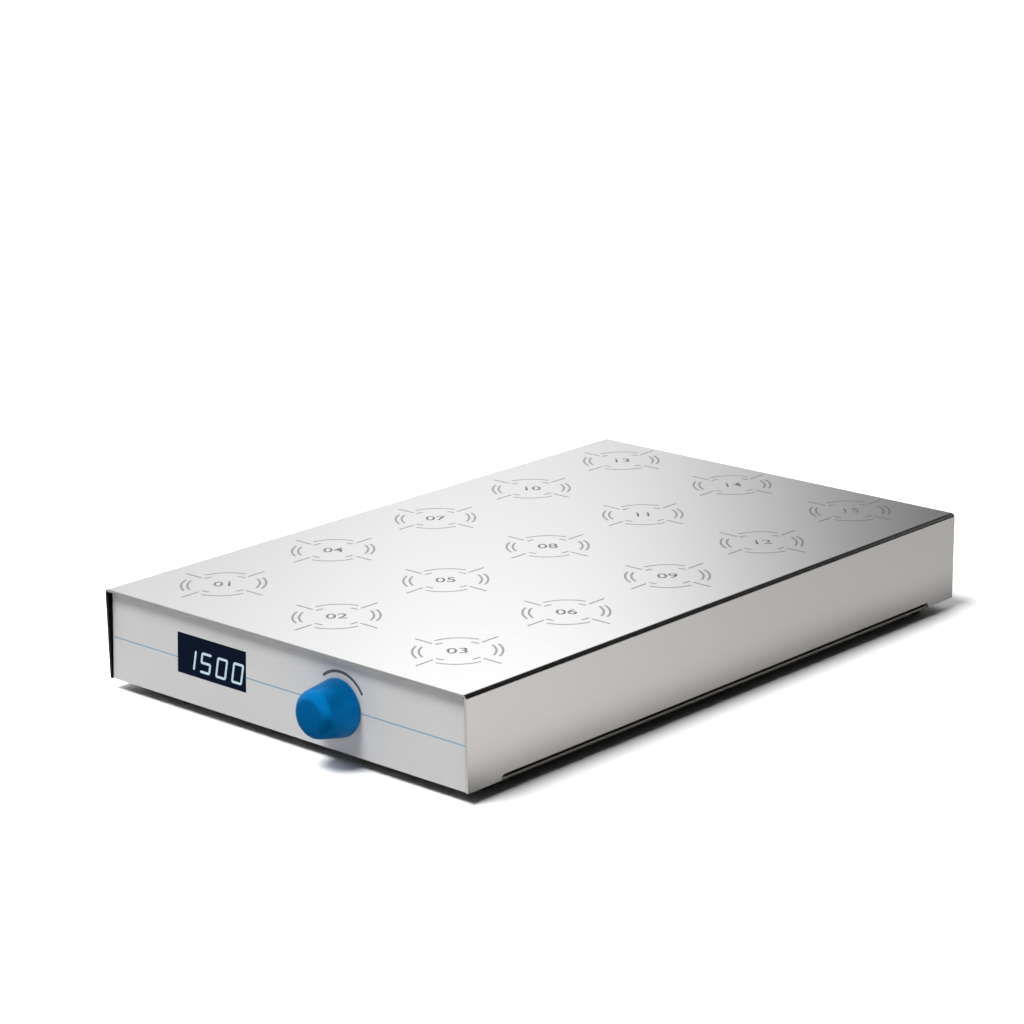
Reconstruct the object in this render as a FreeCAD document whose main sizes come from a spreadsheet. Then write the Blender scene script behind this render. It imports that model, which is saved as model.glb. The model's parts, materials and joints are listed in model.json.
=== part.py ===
import FreeCAD, Part
import os
import re

import Sketcher

# Fifteen-position magnetic stirrer: a folded steel case, a leaning front panel with a display and a speed
# knob, and a grid of flat motors that turn magnet bars under the top.
# +X is right as seen from the front, the front looks towards -Y, +Z is up and the bench is at z = 0.

# Driving sizes in millimetres and degrees. Heights on the panel run up along it from its lower edge.
SIZES = {
    # Folded cover
    "case_width": 276.0,
    "case_depth": 423.0,
    "case_height": 52.4,
    "land_height": 6.5,
    "cover_sheet": 1.5,
    "cover_bend": 1.0,
    "notch_depth": 3.0,
    "notch_round": 2.0,
    "land_length": 25.0,
    # Base tray
    "tray_sheet": 1.5,
    "tray_bend": 1.5,
    "tray_drop": 0.9,
    "tray_side_gap": 0.2,
    "wall_top_gap": 0.4,
    "rear_recess": 0.6,
    # Front panel
    "panel_lean": 3.1,
    "panel_recess": 0.8,
    "fascia_sheet": 1.0,
    "fascia_edge_gap": 0.3,
    # Display
    "window_width": 55.0,
    "window_height": 23.0,
    "window_middle": -54.5,
    "window_low": 15.8,
    "lens_gap": 0.1,
    "module_width": 50.3,
    "module_height": 19.0,
    "module_depth": 8.0,
    "module_gap": 0.3,
    "display_board_width": 66.0,
    "display_board_height": 30.0,
    "board_sheet": 1.6,
    "spacer_flats": 4.5,
    "spacer_edge": 4.0,
    # Speed knob
    "knob_across": 44.7,
    "knob_up": 24.2,
    "knob_gap": 1.0,
    "knob_length": 22.0,
    "knob_base_radius": 16.0,
    "knob_front_radius": 12.5,
    "knob_round": 6.0,
    "knob_front_wall": 4.0,
    "knob_recess_radius": 8.5,
    "knob_recess_depth": 4.5,
    # Potentiometer
    "shaft_radius": 3.0,
    "running_gap": 0.05,
    "press_gap": 0.02,
    "bushing_radius": 4.75,
    "bushing_reach": 4.5,
    "hole_gap": 0.25,
    "pot_side": 17.0,
    "pot_depth": 10.0,
    "pot_seat": 5.0,
    "pot_nut_flats": 12.0,
    "pot_nut_height": 2.4,
    # Stirring positions
    "column_pitch": 90.0,
    "grid_offset": -3.4,
    "first_row": 48.0,
    "last_row": 35.0,
    # Motor plate
    "pillar_height": 16.0,
    "pillar_flats": 8.0,
    "plate_sheet": 3.0,
    "plate_width": 240.0,
    "plate_margin": 3.0,
    "bolt_flats": 7.0,
    "bolt_height": 2.8,
    # Motors, and the yoke bars that carry the magnets
    "motor_side": 35.0,
    "motor_corner": 4.0,
    "top_clearance": 2.5,
    "rotor_gap": 0.8,
    "rotor_shaft_radius": 2.5,
    "motor_floor": 3.5,
    "bore_end_gap": 0.5,
    "bar_length": 44.0,
    "bar_width": 14.0,
    "bar_height": 3.0,
    "magnet_length": 14.0,
    "magnet_width": 14.0,
    "magnet_height": 7.0,
    # Control board
    "control_board_width": 66.0,
    "control_board_length": 110.0,
    "board_lift": 4.5,
    "connector_length": 7.0,
    "connector_width": 5.5,
    "connector_height": 6.0,
    "connector_edge": 2.0,
    "capacitor_length": 13.0,
    "capacitor_width": 6.0,
    "capacitor_height": 8.5,
    "chip_side": 14.0,
    "chip_height": 1.8,
    # Feet with moulded-in studs
    "foot_radius": 9.0,
    "foot_inset_across": 16.0,
    "foot_inset_along": 24.0,
    "stud_radius": 2.0,
    "stud_gap": 0.2,
    "stud_end": 2.0,
    "bracket_sheet": 2.0,
    "bracket_leg": 26.0,
    "bracket_height": 14.0,
    "bracket_length": 24.0,
    "bracket_setback": 8.0,
    # Rear wall
    "socket_up": 34.0,
    "switch_body_width": 13.0,
    "switch_body_height": 21.0,
    "switch_body_depth": 12.0,
    "bezel_border": 1.2,
    "bezel_height": 1.6,
    "rocker_width": 10.2,
    "rocker_radius": 9.2,
    "rocker_crest": 3.8,
    "rocker_pivot_depth": 3.0,
    "rocker_back": 3.5,
    "rocker_throw": 12.0,
    "rocker_gap": 0.35,
    "pivot_radius": 1.2,
    "jack_side": 12.0,
    "jack_depth": 13.0,
    "jack_thread_radius": 5.0,
    "jack_reach": 3.6,
    "jack_bore_radius": 3.2,
    "jack_bore_depth": 10.0,
    "jack_pin_radius": 1.05,
    "jack_pin_recess": 1.0,
    "jack_nut_flats": 13.0,
    "jack_nut_height": 2.0,
}
KNOB_ROUND_STEPS = 2
COLUMNS = 3
ROWS = 5
ROW_PITCH = f"((case_depth - first_row - last_row) / {ROWS - 1})"
PILLAR_ROWS = (0.5, 2.0, 3.5)
SIDES = (-1, 1)

X_AXIS = FreeCAD.Vector(1, 0, 0)
Y_AXIS = FreeCAD.Vector(0, 1, 0)
ORIGIN = FreeCAD.Vector(0, 0, 0)

# Levels and places as formulas on the sizes
TOP = "(land_height + case_height)"
UNDER_TOP = "(land_height + case_height - cover_sheet)"
TRAY_LOW = "(land_height - tray_drop)"
TRAY_TOP = "(land_height - tray_drop + tray_sheet)"
PLATE_LOW = f"({TRAY_TOP} + pillar_height)"
PLATE_TOP = f"({PLATE_LOW} + plate_sheet)"
BAR_LOW = f"({UNDER_TOP} - top_clearance - magnet_height - bar_height)"
MOTOR_TOP = f"({BAR_LOW} - rotor_gap)"
MOTOR_FLOOR = f"({PLATE_TOP} + motor_floor)"
BOARD_LOW = f"({TRAY_TOP} + board_lift)"
CHEEK_INSIDE = "(case_width / 2 - cover_sheet)"
KNOB_REACH = (
    "((knob_gap + knob_length) * cos(panel_lean) - panel_recess"
    " + (knob_front_radius - knob_round - knob_up) * sin(panel_lean))"
)
REAR_REACH = (
    "(bezel_height + rocker_crest - rocker_pivot_depth - rear_recess"
    " + rocker_radius * sin(rocker_throw))"
)
FRONT = f"(({KNOB_REACH} - case_depth - {REAR_REACH}) / 2)"
REAR_FACE = f"({FRONT} + case_depth - rear_recess)"
REAR_INSIDE = f"({REAR_FACE} - tray_sheet)"
WALL_TOP = f"({UNDER_TOP} - wall_top_gap)"
PANEL_INSIDE = "(fascia_sheet + tray_sheet)"
WINDOW_CENTRE = "(window_low + window_height / 2)"
MODULE_BACK = "(fascia_sheet + module_gap + module_depth)"
SWITCH_ACROSS = "(grid_offset - column_pitch / 2)"
JACK_ACROSS = "(grid_offset + column_pitch / 2)"

doc = FreeCAD.newDocument("magnetic_stirrer")
sheet = doc.addObject("Spreadsheet::Sheet", "Sizes")
for row, (name, value) in enumerate(SIZES.items(), start=1):
    sheet.set(f"A{row}", name)
    sheet.set(f"B{row}", str(value))
    sheet.setAlias(f"B{row}", name)
doc.recompute()

sub_parts = []


def formula(text):
    """The formula with each size's name pointed at its cell in the sheet."""
    return re.sub(r"[a-z_]+", lambda word: f"Sizes.{word[0]}" if word[0] in SIZES else word[0], text)


def number(text):
    """The formula's value."""
    return float(sheet.evalExpression(formula(text)))


def bind(target, **formulas):
    """Ties the target's properties to formulas."""
    for name, text in formulas.items():
        target.setExpression(name, formula(text))


def place(target, x="0", y="0", z="0", turn="0", axis=X_AXIS):
    """Ties the target's place, and its turn about an axis, to formulas."""
    target.Placement = FreeCAD.Placement(ORIGIN, FreeCAD.Rotation(axis, 1))
    for path, text in (("Base.x", x), ("Base.y", y), ("Base.z", z), ("Rotation.Angle", turn)):
        target.setExpression(f"Placement.{path}", formula(text))


def on_panel(across, inward, up):
    """Formulas of the place of a point given across, into and up the leaning front panel."""
    y = f"{FRONT} + panel_recess + ({inward}) * cos(panel_lean) + ({up}) * sin(panel_lean)"
    z = f"land_height + ({up}) * cos(panel_lean) - ({inward}) * sin(panel_lean)"
    return {"x": across, "y": y, "z": z}


def wall_line(inward, height):
    """Formula of how far behind the case's front edge the leaning wall stands at a height."""
    return f"panel_recess + ({inward}) / cos(panel_lean) + (({height}) - land_height) * tan(panel_lean)"


def sub_part(target, label):
    """Names an object as a sub-part of the stirrer."""
    target.Label = label
    sub_parts.append(target)
    return target


def new_body(label):
    """An empty body that is a sub-part."""
    return sub_part(doc.addObject("PartDesign::Body", label), label)


def new_sketch(body, role, lift="0"):
    """A sketch on one of the body's origin planes, lifted off it by a formula."""
    sketch = body.newObject("Sketcher::SketchObject", f"{body.Name}_sketch")
    plane = next(feature for feature in body.Origin.OriginFeatures if feature.Role == role)
    sketch.AttachmentSupport = (plane, [""])
    sketch.MapMode = "FlatFace"
    sketch.setExpression("AttachmentOffset.Base.z", formula(lift))
    return sketch


def pin_point(sketch, shape, end, across, up):
    """Ties a point of the sketch's geometry to formulas of its distance from the origin."""
    for kind, text in (("DistanceX", across), ("DistanceY", up)):
        index = sketch.addConstraint(Sketcher.Constraint(kind, -1, 1, shape, end, number(text)))
        sketch.setExpression(f"Constraints[{index}]", formula(text))


def outline(sketch, corners):
    """A closed outline through corners that stand at formulas."""
    points = [FreeCAD.Vector(number(across), number(up), 0) for across, up in corners]
    lines = []
    for start, end in zip(points, points[1:] + points[:1]):
        lines.append(sketch.addGeometry(Part.LineSegment(start, end), False))
    for line, following in zip(lines, lines[1:] + lines[:1]):
        sketch.addConstraint(Sketcher.Constraint("Coincident", line, 2, following, 1))
    for line, (across, up) in zip(lines, corners):
        pin_point(sketch, line, 1, across, up)


def rectangle(sketch, across, up, width, height):
    """A rectangle about a middle, all by formulas."""
    left, right = f"{across} - ({width}) / 2", f"{across} + ({width}) / 2"
    low, high = f"{up} - ({height}) / 2", f"{up} + ({height}) / 2"
    outline(sketch, [(left, low), (right, low), (right, high), (left, high)])


def circle(sketch, across, up, radius):
    """A circle about a middle, all by formulas."""
    middle = FreeCAD.Vector(number(across), number(up), 0)
    shape = sketch.addGeometry(Part.Circle(middle, FreeCAD.Vector(0, 0, 1), number(radius)), False)
    pin_point(sketch, shape, 3, across, up)
    index = sketch.addConstraint(Sketcher.Constraint("Radius", shape, number(radius)))
    sketch.setExpression(f"Constraints[{index}]", formula(radius))


def pad(body, sketch, length, back=False, middle=False):
    """A pad of the sketch, to its front, to its back or to both sides alike."""
    feature = body.newObject("PartDesign::Pad", f"{body.Name}_pad")
    feature.Profile = sketch
    feature.Reversed = back
    feature.SideType = "Symmetric" if middle else "One side"
    bind(feature, Length=length)
    doc.recompute()
    return feature


def pocket(body, sketch, length, middle=False):
    """A pocket of the sketch that has to take material away."""
    before = body.Shape.Volume
    feature = body.newObject("PartDesign::Pocket", f"{body.Name}_pocket")
    feature.Profile = sketch
    feature.SideType = "Symmetric" if middle else "One side"
    bind(feature, Length=length)
    doc.recompute()
    if body.Shape.Volume >= before:
        raise RuntimeError(f"a pocket of {body.Label} cuts nothing")
    return feature


def revolve(body, corners):
    """A revolved solid: the outline's corners are distances from the axis and heights along it."""
    sketch = new_sketch(body, "XZ_Plane")
    outline(sketch, corners)
    feature = body.newObject("PartDesign::Revolution", f"{body.Name}_turned")
    feature.Profile = sketch
    feature.ReferenceAxis = (sketch, ["V_Axis"])
    feature.Angle = 360
    doc.recompute()
    return feature


def near(first, second):
    """Whether two lengths agree."""
    return abs(first - second) < 1e-4


def runs_along(edge, axis):
    """Whether the edge is a straight one that runs along the axis."""
    if len(edge.Vertexes) < 2:
        return False
    run = edge.Vertexes[1].Point - edge.Vertexes[0].Point
    return near(abs(run.dot(axis)), run.Length)


def round_edges(body, radius, test, axis=None):
    """Fillets the body's edges whose ends all pass a test, and that run along an axis if one is given."""
    base = body.Tip
    names = []
    for index, edge in enumerate(base.Shape.Edges, start=1):
        if axis is not None and not runs_along(edge, axis):
            continue
        if all(test(vertex.Point) for vertex in edge.Vertexes):
            names.append(f"Edge{index}")
    feature = body.newObject("PartDesign::Fillet", f"{body.Name}_round")
    feature.Base = (base, names)
    bind(feature, Radius=radius)
    doc.recompute()
    return feature


def box(length, width, height, **where):
    """A box from its low corner."""
    solid = doc.addObject("Part::Box", "box")
    bind(solid, Length=length, Width=width, Height=height)
    place(solid, **where)
    return solid


def cylinder(radius, height, **where):
    """A cylinder from the middle of its foot."""
    solid = doc.addObject("Part::Cylinder", "cylinder")
    bind(solid, Radius=radius, Height=height)
    place(solid, **where)
    return solid


def hexagon(flats, height, **where):
    """A hexagonal prism from the middle of its foot, by its width across flats."""
    solid = doc.addObject("Part::Prism", "prism")
    solid.Polygon = 6
    bind(solid, Circumradius=f"({flats}) / sqrt(3)", Height=height)
    place(solid, **where)
    return solid


def cut(base, *tools):
    """The base without the tools."""
    result = doc.addObject("Part::Cut", "cut")
    result.Base = base
    result.Tool = tools[0] if len(tools) == 1 else collect(tools)
    return result


def join(first, second):
    """Two solids as one."""
    result = doc.addObject("Part::Fuse", "join")
    result.Base = first
    result.Tool = second
    return result


def collect(solids):
    """A group of separate solids."""
    result = doc.addObject("Part::Compound", "group")
    result.Links = list(solids)
    return result


def positions():
    """Formulas of the place of each stirring position, row by row from the front left."""
    places = []
    for row in range(ROWS):
        for column in range(COLUMNS):
            across = f"grid_offset + {column - (COLUMNS - 1) / 2} * column_pitch"
            along = f"{FRONT} + first_row + {row} * {ROW_PITCH}"
            places.append((across, along))
    return places


def foot_places():
    """Formulas of the place of each foot, with its side and its end of the case."""
    places = []
    for side in SIDES:
        for end in SIDES:
            across = f"{side} * (case_width / 2 - foot_inset_across)"
            along = f"{FRONT} + case_depth / 2 + {end} * (case_depth / 2 - foot_inset_along)"
            places.append((side, end, across, along))
    return places


def pillar_places():
    """Formulas of the place of each pillar, in the gaps between the columns of motors."""
    places = []
    for row in PILLAR_ROWS:
        for side in SIDES:
            across = f"grid_offset + {side} * column_pitch / 2"
            places.append((across, f"{FRONT} + first_row + {row} * {ROW_PITCH}"))
    return places


def make_top_cover():
    """The cover, folded over the top and both cheeks, with a notch along each cheek's lower edge."""
    body = new_body("top_cover")
    half, inner = "case_width / 2", CHEEK_INSIDE
    profile = new_sketch(body, "XZ_Plane")
    low = "land_height"
    outer = [(f"-{half}", low), (f"-{half}", TOP), (half, TOP), (half, low)]
    inside = [(inner, low), (inner, UNDER_TOP), (f"-{inner}", UNDER_TOP), (f"-{inner}", low)]
    outline(profile, outer + inside)
    pad(body, profile, "case_depth", back=True)

    half_now, inner_now = number(half), number(inner)
    top_now, under_now = number(TOP), number(UNDER_TOP)
    round_edges(body, "cover_bend", lambda p: near(abs(p.x), inner_now) and near(p.z, under_now), Y_AXIS)
    round_edges(
        body, "cover_bend + cover_sheet", lambda p: near(abs(p.x), half_now) and near(p.z, top_now), Y_AXIS
    )

    notch = new_sketch(body, "YZ_Plane")
    rectangle(notch, "case_depth / 2", "land_height", "case_depth - 2 * land_length", "2 * notch_depth")
    pocket(body, notch, "case_width + cover_sheet", middle=True)
    edge_now = number("land_height + notch_depth")
    round_edges(body, "notch_round", lambda p: near(p.z, edge_now), X_AXIS)
    place(body, y=FRONT)


def make_base_tray():
    """The tray, folded up at the front and the rear, with openings for what its walls and floor carry."""
    body = doc.addObject("PartDesign::Body", "tray_sheet_metal")
    profile = new_sketch(body, "YZ_Plane")
    rear, rear_inner = "case_depth - rear_recess", "case_depth - rear_recess - tray_sheet"
    outline(
        profile,
        [
            (wall_line("fascia_sheet", WALL_TOP), WALL_TOP),
            (wall_line("fascia_sheet", TRAY_LOW), TRAY_LOW),
            (rear, TRAY_LOW),
            (rear, WALL_TOP),
            (rear_inner, WALL_TOP),
            (rear_inner, TRAY_TOP),
            (wall_line(PANEL_INSIDE, TRAY_TOP), TRAY_TOP),
            (wall_line(PANEL_INSIDE, WALL_TOP), WALL_TOP),
        ],
    )
    pad(body, profile, f"2 * ({CHEEK_INSIDE} - tray_side_gap)", middle=True)
    low_now, floor_now = number(TRAY_LOW), number(TRAY_TOP)
    ends = (number(wall_line("fascia_sheet", TRAY_LOW)), number(rear))
    inner_ends = (number(wall_line(PANEL_INSIDE, TRAY_TOP)), number(rear_inner))
    round_edges(
        body,
        "tray_bend",
        lambda p: near(p.z, floor_now) and any(near(p.y, end) for end in inner_ends),
        X_AXIS,
    )
    round_edges(
        body,
        "tray_bend + tray_sheet",
        lambda p: near(p.z, low_now) and any(near(p.y, end) for end in ends),
        X_AXIS,
    )
    place(body, y=FRONT)

    opening_width, opening_height = "module_width + 2 * module_gap", "module_height + 2 * module_gap"
    opening_left = f"window_middle - ({opening_width}) / 2"
    opening_low = f"{WINDOW_CENTRE} - ({opening_height}) / 2"
    display_opening = box(
        opening_width,
        "4 * tray_sheet",
        opening_height,
        turn="-panel_lean",
        **on_panel(opening_left, "0", opening_low),
    )
    bushing_hole = cylinder(
        "bushing_radius + hole_gap",
        "6 * tray_sheet",
        turn="-90 - panel_lean",
        **on_panel("knob_across", "0", "knob_up"),
    )
    switch_width, switch_height = "switch_body_width + 2 * hole_gap", "switch_body_height + 2 * hole_gap"
    switch_opening = box(
        switch_width,
        "4 * tray_sheet",
        switch_height,
        x=f"{SWITCH_ACROSS} - ({switch_width}) / 2",
        y=f"{REAR_FACE} - 2 * tray_sheet",
        z=f"socket_up - ({switch_height}) / 2",
    )
    jack_hole = cylinder(
        "jack_thread_radius + hole_gap",
        "4 * tray_sheet",
        x=JACK_ACROSS,
        y=f"{REAR_FACE} + 2 * tray_sheet",
        z="socket_up",
        turn="90",
    )
    stud_holes = [
        cylinder("stud_radius + stud_gap", "3 * tray_sheet", x=across, y=along, z=f"{TRAY_LOW} - tray_sheet")
        for _, _, across, along in foot_places()
    ]
    sub_part(cut(body, display_opening, bushing_hole, switch_opening, jack_hole, *stud_holes), "base_tray")


def make_cover_brackets():
    """The angles inside the cheeks that the foot studs screw into, kept clear of the notches."""
    brackets = []
    for side, end, across, along in foot_places():
        start = f"{along} - bracket_length / 2"
        land_end = f"{FRONT} + case_depth / 2 + {end} * (case_depth / 2 - land_length)"
        leg_low, upright_low, corner_low = (
            (f"-{CHEEK_INSIDE}" if side < 0 else f"{CHEEK_INSIDE} - {width}")
            for width in ("bracket_leg", "bracket_sheet", "bracket_setback")
        )
        leg = box("bracket_leg", "bracket_length", "bracket_sheet", x=leg_low, y=start, z=TRAY_TOP)
        upright = box("bracket_sheet", "bracket_length", "bracket_height", x=upright_low, y=start, z=TRAY_TOP)
        hole = cylinder(
            "stud_radius + press_gap", "3 * bracket_sheet", x=across, y=along, z=f"{TRAY_TOP} - bracket_sheet"
        )
        corner = box(
            "bracket_setback",
            "bracket_length",
            "bracket_height",
            x=corner_low,
            y=land_end if end < 0 else f"{land_end} - bracket_length",
            z=TRAY_TOP,
        )
        brackets.append(cut(join(leg, upright), hole, corner))
    sub_part(collect(brackets), "cover_brackets")


def make_feet():
    """Rubber feet, and the studs moulded into them that hold the tray to the brackets."""
    feet, studs = [], []
    stud_length = f"{TRAY_TOP} + bracket_sheet + stud_end - {TRAY_LOW}"
    for _, _, across, along in foot_places():
        feet.append(cylinder("foot_radius", TRAY_LOW, x=across, y=along))
        studs.append(cylinder("stud_radius", stud_length, x=across, y=along, z=TRAY_LOW))
    sub_part(collect(feet), "feet")
    sub_part(collect(studs), "foot_studs")


def make_front_fascia():
    """The plate that faces the leaning front wall, with its window and the hole for the knob's bushing."""
    body = new_body("front_fascia")
    sketch = new_sketch(body, "XZ_Plane")
    width = f"2 * ({CHEEK_INSIDE} - fascia_edge_gap)"
    opening_rise = f"({UNDER_TOP} - land_height) / cos(panel_lean)"
    height = f"({opening_rise} - fascia_edge_gap - fascia_sheet * tan(panel_lean))"
    rectangle(sketch, "0", f"{height} / 2", width, height)
    rectangle(sketch, "window_middle", WINDOW_CENTRE, "window_width", "window_height")
    circle(sketch, "knob_across", "knob_up", "bushing_radius + hole_gap")
    pad(body, sketch, "fascia_sheet", back=True)
    place(body, turn="-panel_lean", **on_panel("0", "0", "0"))


def make_display():
    """The lens in the window, the digit block behind it, its board and the spacers that hold the board."""
    lens_width, lens_height = "(window_width - 2 * lens_gap)", "(window_height - 2 * lens_gap)"
    lens = box(
        lens_width,
        "fascia_sheet",
        lens_height,
        turn="-panel_lean",
        **on_panel(f"window_middle - {lens_width} / 2", "0", f"{WINDOW_CENTRE} - {lens_height} / 2"),
    )
    sub_part(lens, "display_window")

    module_low = f"{WINDOW_CENTRE} - module_height / 2"
    module = box(
        "module_width",
        "module_depth",
        "module_height",
        turn="-panel_lean",
        **on_panel("window_middle - module_width / 2", "fascia_sheet + module_gap", module_low),
    )
    sub_part(module, "display_module")

    low = f"({WINDOW_CENTRE} - display_board_height / 2)"
    board = box(
        "display_board_width",
        "board_sheet",
        "display_board_height",
        turn="-panel_lean",
        **on_panel("window_middle - display_board_width / 2", MODULE_BACK, low),
    )
    sub_part(board, "display_board")

    spacers = []
    for side in SIDES:
        for rise in SIDES:
            across = f"window_middle + {side} * (display_board_width / 2 - spacer_edge)"
            up = f"{WINDOW_CENTRE} + {rise} * (display_board_height / 2 - spacer_edge)"
            spacers.append(
                hexagon(
                    "spacer_flats",
                    f"{MODULE_BACK} - {PANEL_INSIDE}",
                    turn="-90 - panel_lean",
                    **on_panel(across, PANEL_INSIDE, up),
                )
            )
    sub_part(collect(spacers), "display_spacers")


def make_knob_and_pot():
    """The knob on its shaft, and the potentiometer that is held in the panel by its bushing and nut."""
    out_of_panel = "90 - panel_lean"
    bore = "(shaft_radius + press_gap)"
    bore_end = "(knob_length - knob_front_wall)"
    knob = new_body("speed_knob")
    turns = [f"90 * {step} / {KNOB_ROUND_STEPS}" for step in range(KNOB_ROUND_STEPS + 1)]
    rounded = [
        (
            f"knob_front_radius - knob_round * (1 - cos({turn}))",
            f"knob_length - knob_round * (1 - sin({turn}))",
        )
        for turn in turns
    ]
    revolve(
        knob,
        [("knob_recess_radius", "0"), ("knob_base_radius", "0")]
        + rounded
        + [
            ("0", "knob_length"),
            ("0", bore_end),
            (bore, bore_end),
            (bore, "knob_recess_depth"),
            ("knob_recess_radius", "knob_recess_depth"),
        ],
    )
    place(knob, turn=out_of_panel, **on_panel("knob_across", "-knob_gap", "knob_up"))

    seat = f"({PANEL_INSIDE} + pot_seat)"
    shaft_end = f"(knob_gap + {bore_end} - press_gap)"
    shaft = cylinder(
        "shaft_radius",
        f"{seat} + {shaft_end}",
        turn=out_of_panel,
        **on_panel("knob_across", seat, "knob_up"),
    )
    sub_part(shaft, "pot_shaft")

    pot = new_body("pot_body")
    case = new_sketch(pot, "XY_Plane")
    rectangle(case, "0", "0", "pot_side", "pot_side")
    pad(pot, case, "pot_depth")
    bushing = new_sketch(pot, "XY_Plane", lift="pot_depth")
    circle(bushing, "0", "0", "bushing_radius")
    pad(pot, bushing, f"{PANEL_INSIDE} + bushing_reach")
    tip = f"pot_depth + {PANEL_INSIDE} + bushing_reach"
    bore_of_pot = new_sketch(pot, "XY_Plane", lift=tip)
    circle(bore_of_pot, "0", "0", "shaft_radius + running_gap")
    pocket(pot, bore_of_pot, f"{PANEL_INSIDE} + bushing_reach + pot_seat + running_gap")
    place(pot, turn=out_of_panel, **on_panel("knob_across", f"{PANEL_INSIDE} + pot_depth", "knob_up"))

    nut_place = on_panel("knob_across", "0", "knob_up")
    nut = hexagon("pot_nut_flats", "pot_nut_height", turn=out_of_panel, **nut_place)
    thread = cylinder("bushing_radius + press_gap", "pot_nut_height", turn=out_of_panel, **nut_place)
    sub_part(cut(nut, thread), "pot_nut")


def make_motor_plate():
    """The plate that carries the motors, on hexagonal pillars with bolts down into them."""
    front_edge = f"{FRONT} + first_row - motor_side / 2 - plate_margin / 2"
    length = f"{ROWS - 1} * {ROW_PITCH} + motor_side + plate_margin"
    plate = box("plate_width", length, "plate_sheet", x="-plate_width / 2", y=front_edge, z=PLATE_LOW)
    sub_part(plate, "motor_plate")
    pillars = [hexagon("pillar_flats", "pillar_height", x=x, y=y, z=TRAY_TOP) for x, y in pillar_places()]
    sub_part(collect(pillars), "plate_pillars")
    bolts = [hexagon("bolt_flats", "bolt_height", x=x, y=y, z=PLATE_TOP) for x, y in pillar_places()]
    sub_part(collect(bolts), "plate_bolts")


def make_stir_motors():
    """A flat square motor with cut corners at each position, open round its shaft by six flats."""
    motors = []
    for across, along in positions():
        case = box(
            "motor_side",
            "motor_side",
            f"{MOTOR_TOP} - {PLATE_TOP}",
            x=f"{across} - motor_side / 2",
            y=f"{along} - motor_side / 2",
            z=PLATE_TOP,
        )
        corners = doc.addObject("Part::Chamfer", "corners")
        corners.Base = case
        doc.recompute()
        cut_back = number("motor_corner")
        upright = [
            index
            for index, edge in enumerate(case.Shape.Edges, start=1)
            if near(edge.Vertexes[0].X, edge.Vertexes[1].X) and near(edge.Vertexes[0].Y, edge.Vertexes[1].Y)
        ]
        corners.Edges = [(index, cut_back, cut_back) for index in upright]
        opening = hexagon(
            "2 * (rotor_shaft_radius + running_gap)",
            f"{MOTOR_TOP} - {MOTOR_FLOOR}",
            x=across,
            y=along,
            z=MOTOR_FLOOR,
        )
        motors.append(cut(corners, opening))
    sub_part(collect(motors), "stir_motors")


def make_stir_rotor(index, across, along):
    """A yoke bar on the shaft that runs in the motor, with a magnet at each end of the bar."""
    body = new_body(f"stir_rotor_{index:02d}")
    bar = new_sketch(body, "XY_Plane")
    rectangle(bar, "0", "0", "bar_length", "bar_width")
    pad(body, bar, "bar_height")
    shaft = new_sketch(body, "XY_Plane")
    circle(shaft, "0", "0", "rotor_shaft_radius")
    pad(body, shaft, f"{BAR_LOW} - {MOTOR_FLOOR} - bore_end_gap", back=True)
    place(body, x=across, y=along, z=BAR_LOW)

    magnets = [
        box(
            "magnet_length",
            "magnet_width",
            "magnet_height",
            x=f"{across} + {way} * (bar_length - magnet_length) / 2 - magnet_length / 2",
            y=f"{along} - magnet_width / 2",
            z=f"{BAR_LOW} + bar_height",
        )
        for way in SIDES
    ]
    sub_part(collect(magnets), f"stir_magnets_{index:02d}")


def make_control_board():
    """The speed control under the plate: its board, spacers, a connector per motor, capacitors and a chip."""
    along = f"({FRONT} + first_row + {ROWS - 2} * {ROW_PITCH})"
    start = f"({along} - control_board_length / 2)"
    left = "(grid_offset - control_board_width / 2)"
    board = box("control_board_width", "control_board_length", "board_sheet", x=left, y=start, z=BOARD_LOW)
    sub_part(board, "control_board")

    spacers = [
        hexagon(
            "spacer_flats",
            "board_lift",
            x=f"grid_offset + {side} * (control_board_width / 2 - spacer_edge)",
            y=f"{along} + {way} * (control_board_length / 2 - spacer_edge)",
            z=TRAY_TOP,
        )
        for side in SIDES
        for way in SIDES
    ]
    sub_part(collect(spacers), "board_spacers")

    deck = f"({BOARD_LOW} + board_sheet)"
    fitted = []
    for row in range(ROWS):
        for side in SIDES:
            inset = "control_board_width / 2 - connector_edge - connector_width / 2"
            middle = f"grid_offset + {side} * ({inset})"
            fitted.append(
                box(
                    "connector_width",
                    "connector_length",
                    "connector_height",
                    x=f"{middle} - connector_width / 2",
                    y=f"{start} + control_board_length * {row + 1} / {ROWS + 1} - connector_length / 2",
                    z=deck,
                )
            )
    for way in SIDES:
        fitted.append(
            box(
                "capacitor_length",
                "capacitor_width",
                "capacitor_height",
                x="grid_offset - capacitor_length / 2",
                y=f"{along} + {way} * control_board_length / 3 - capacitor_width / 2",
                z=deck,
            )
        )
    chip_corner = {"x": "grid_offset - chip_side / 2", "y": f"{along} - chip_side / 2"}
    fitted.append(box("chip_side", "chip_side", "chip_height", z=deck, **chip_corner))
    sub_part(collect(fitted), "board_parts")


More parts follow.
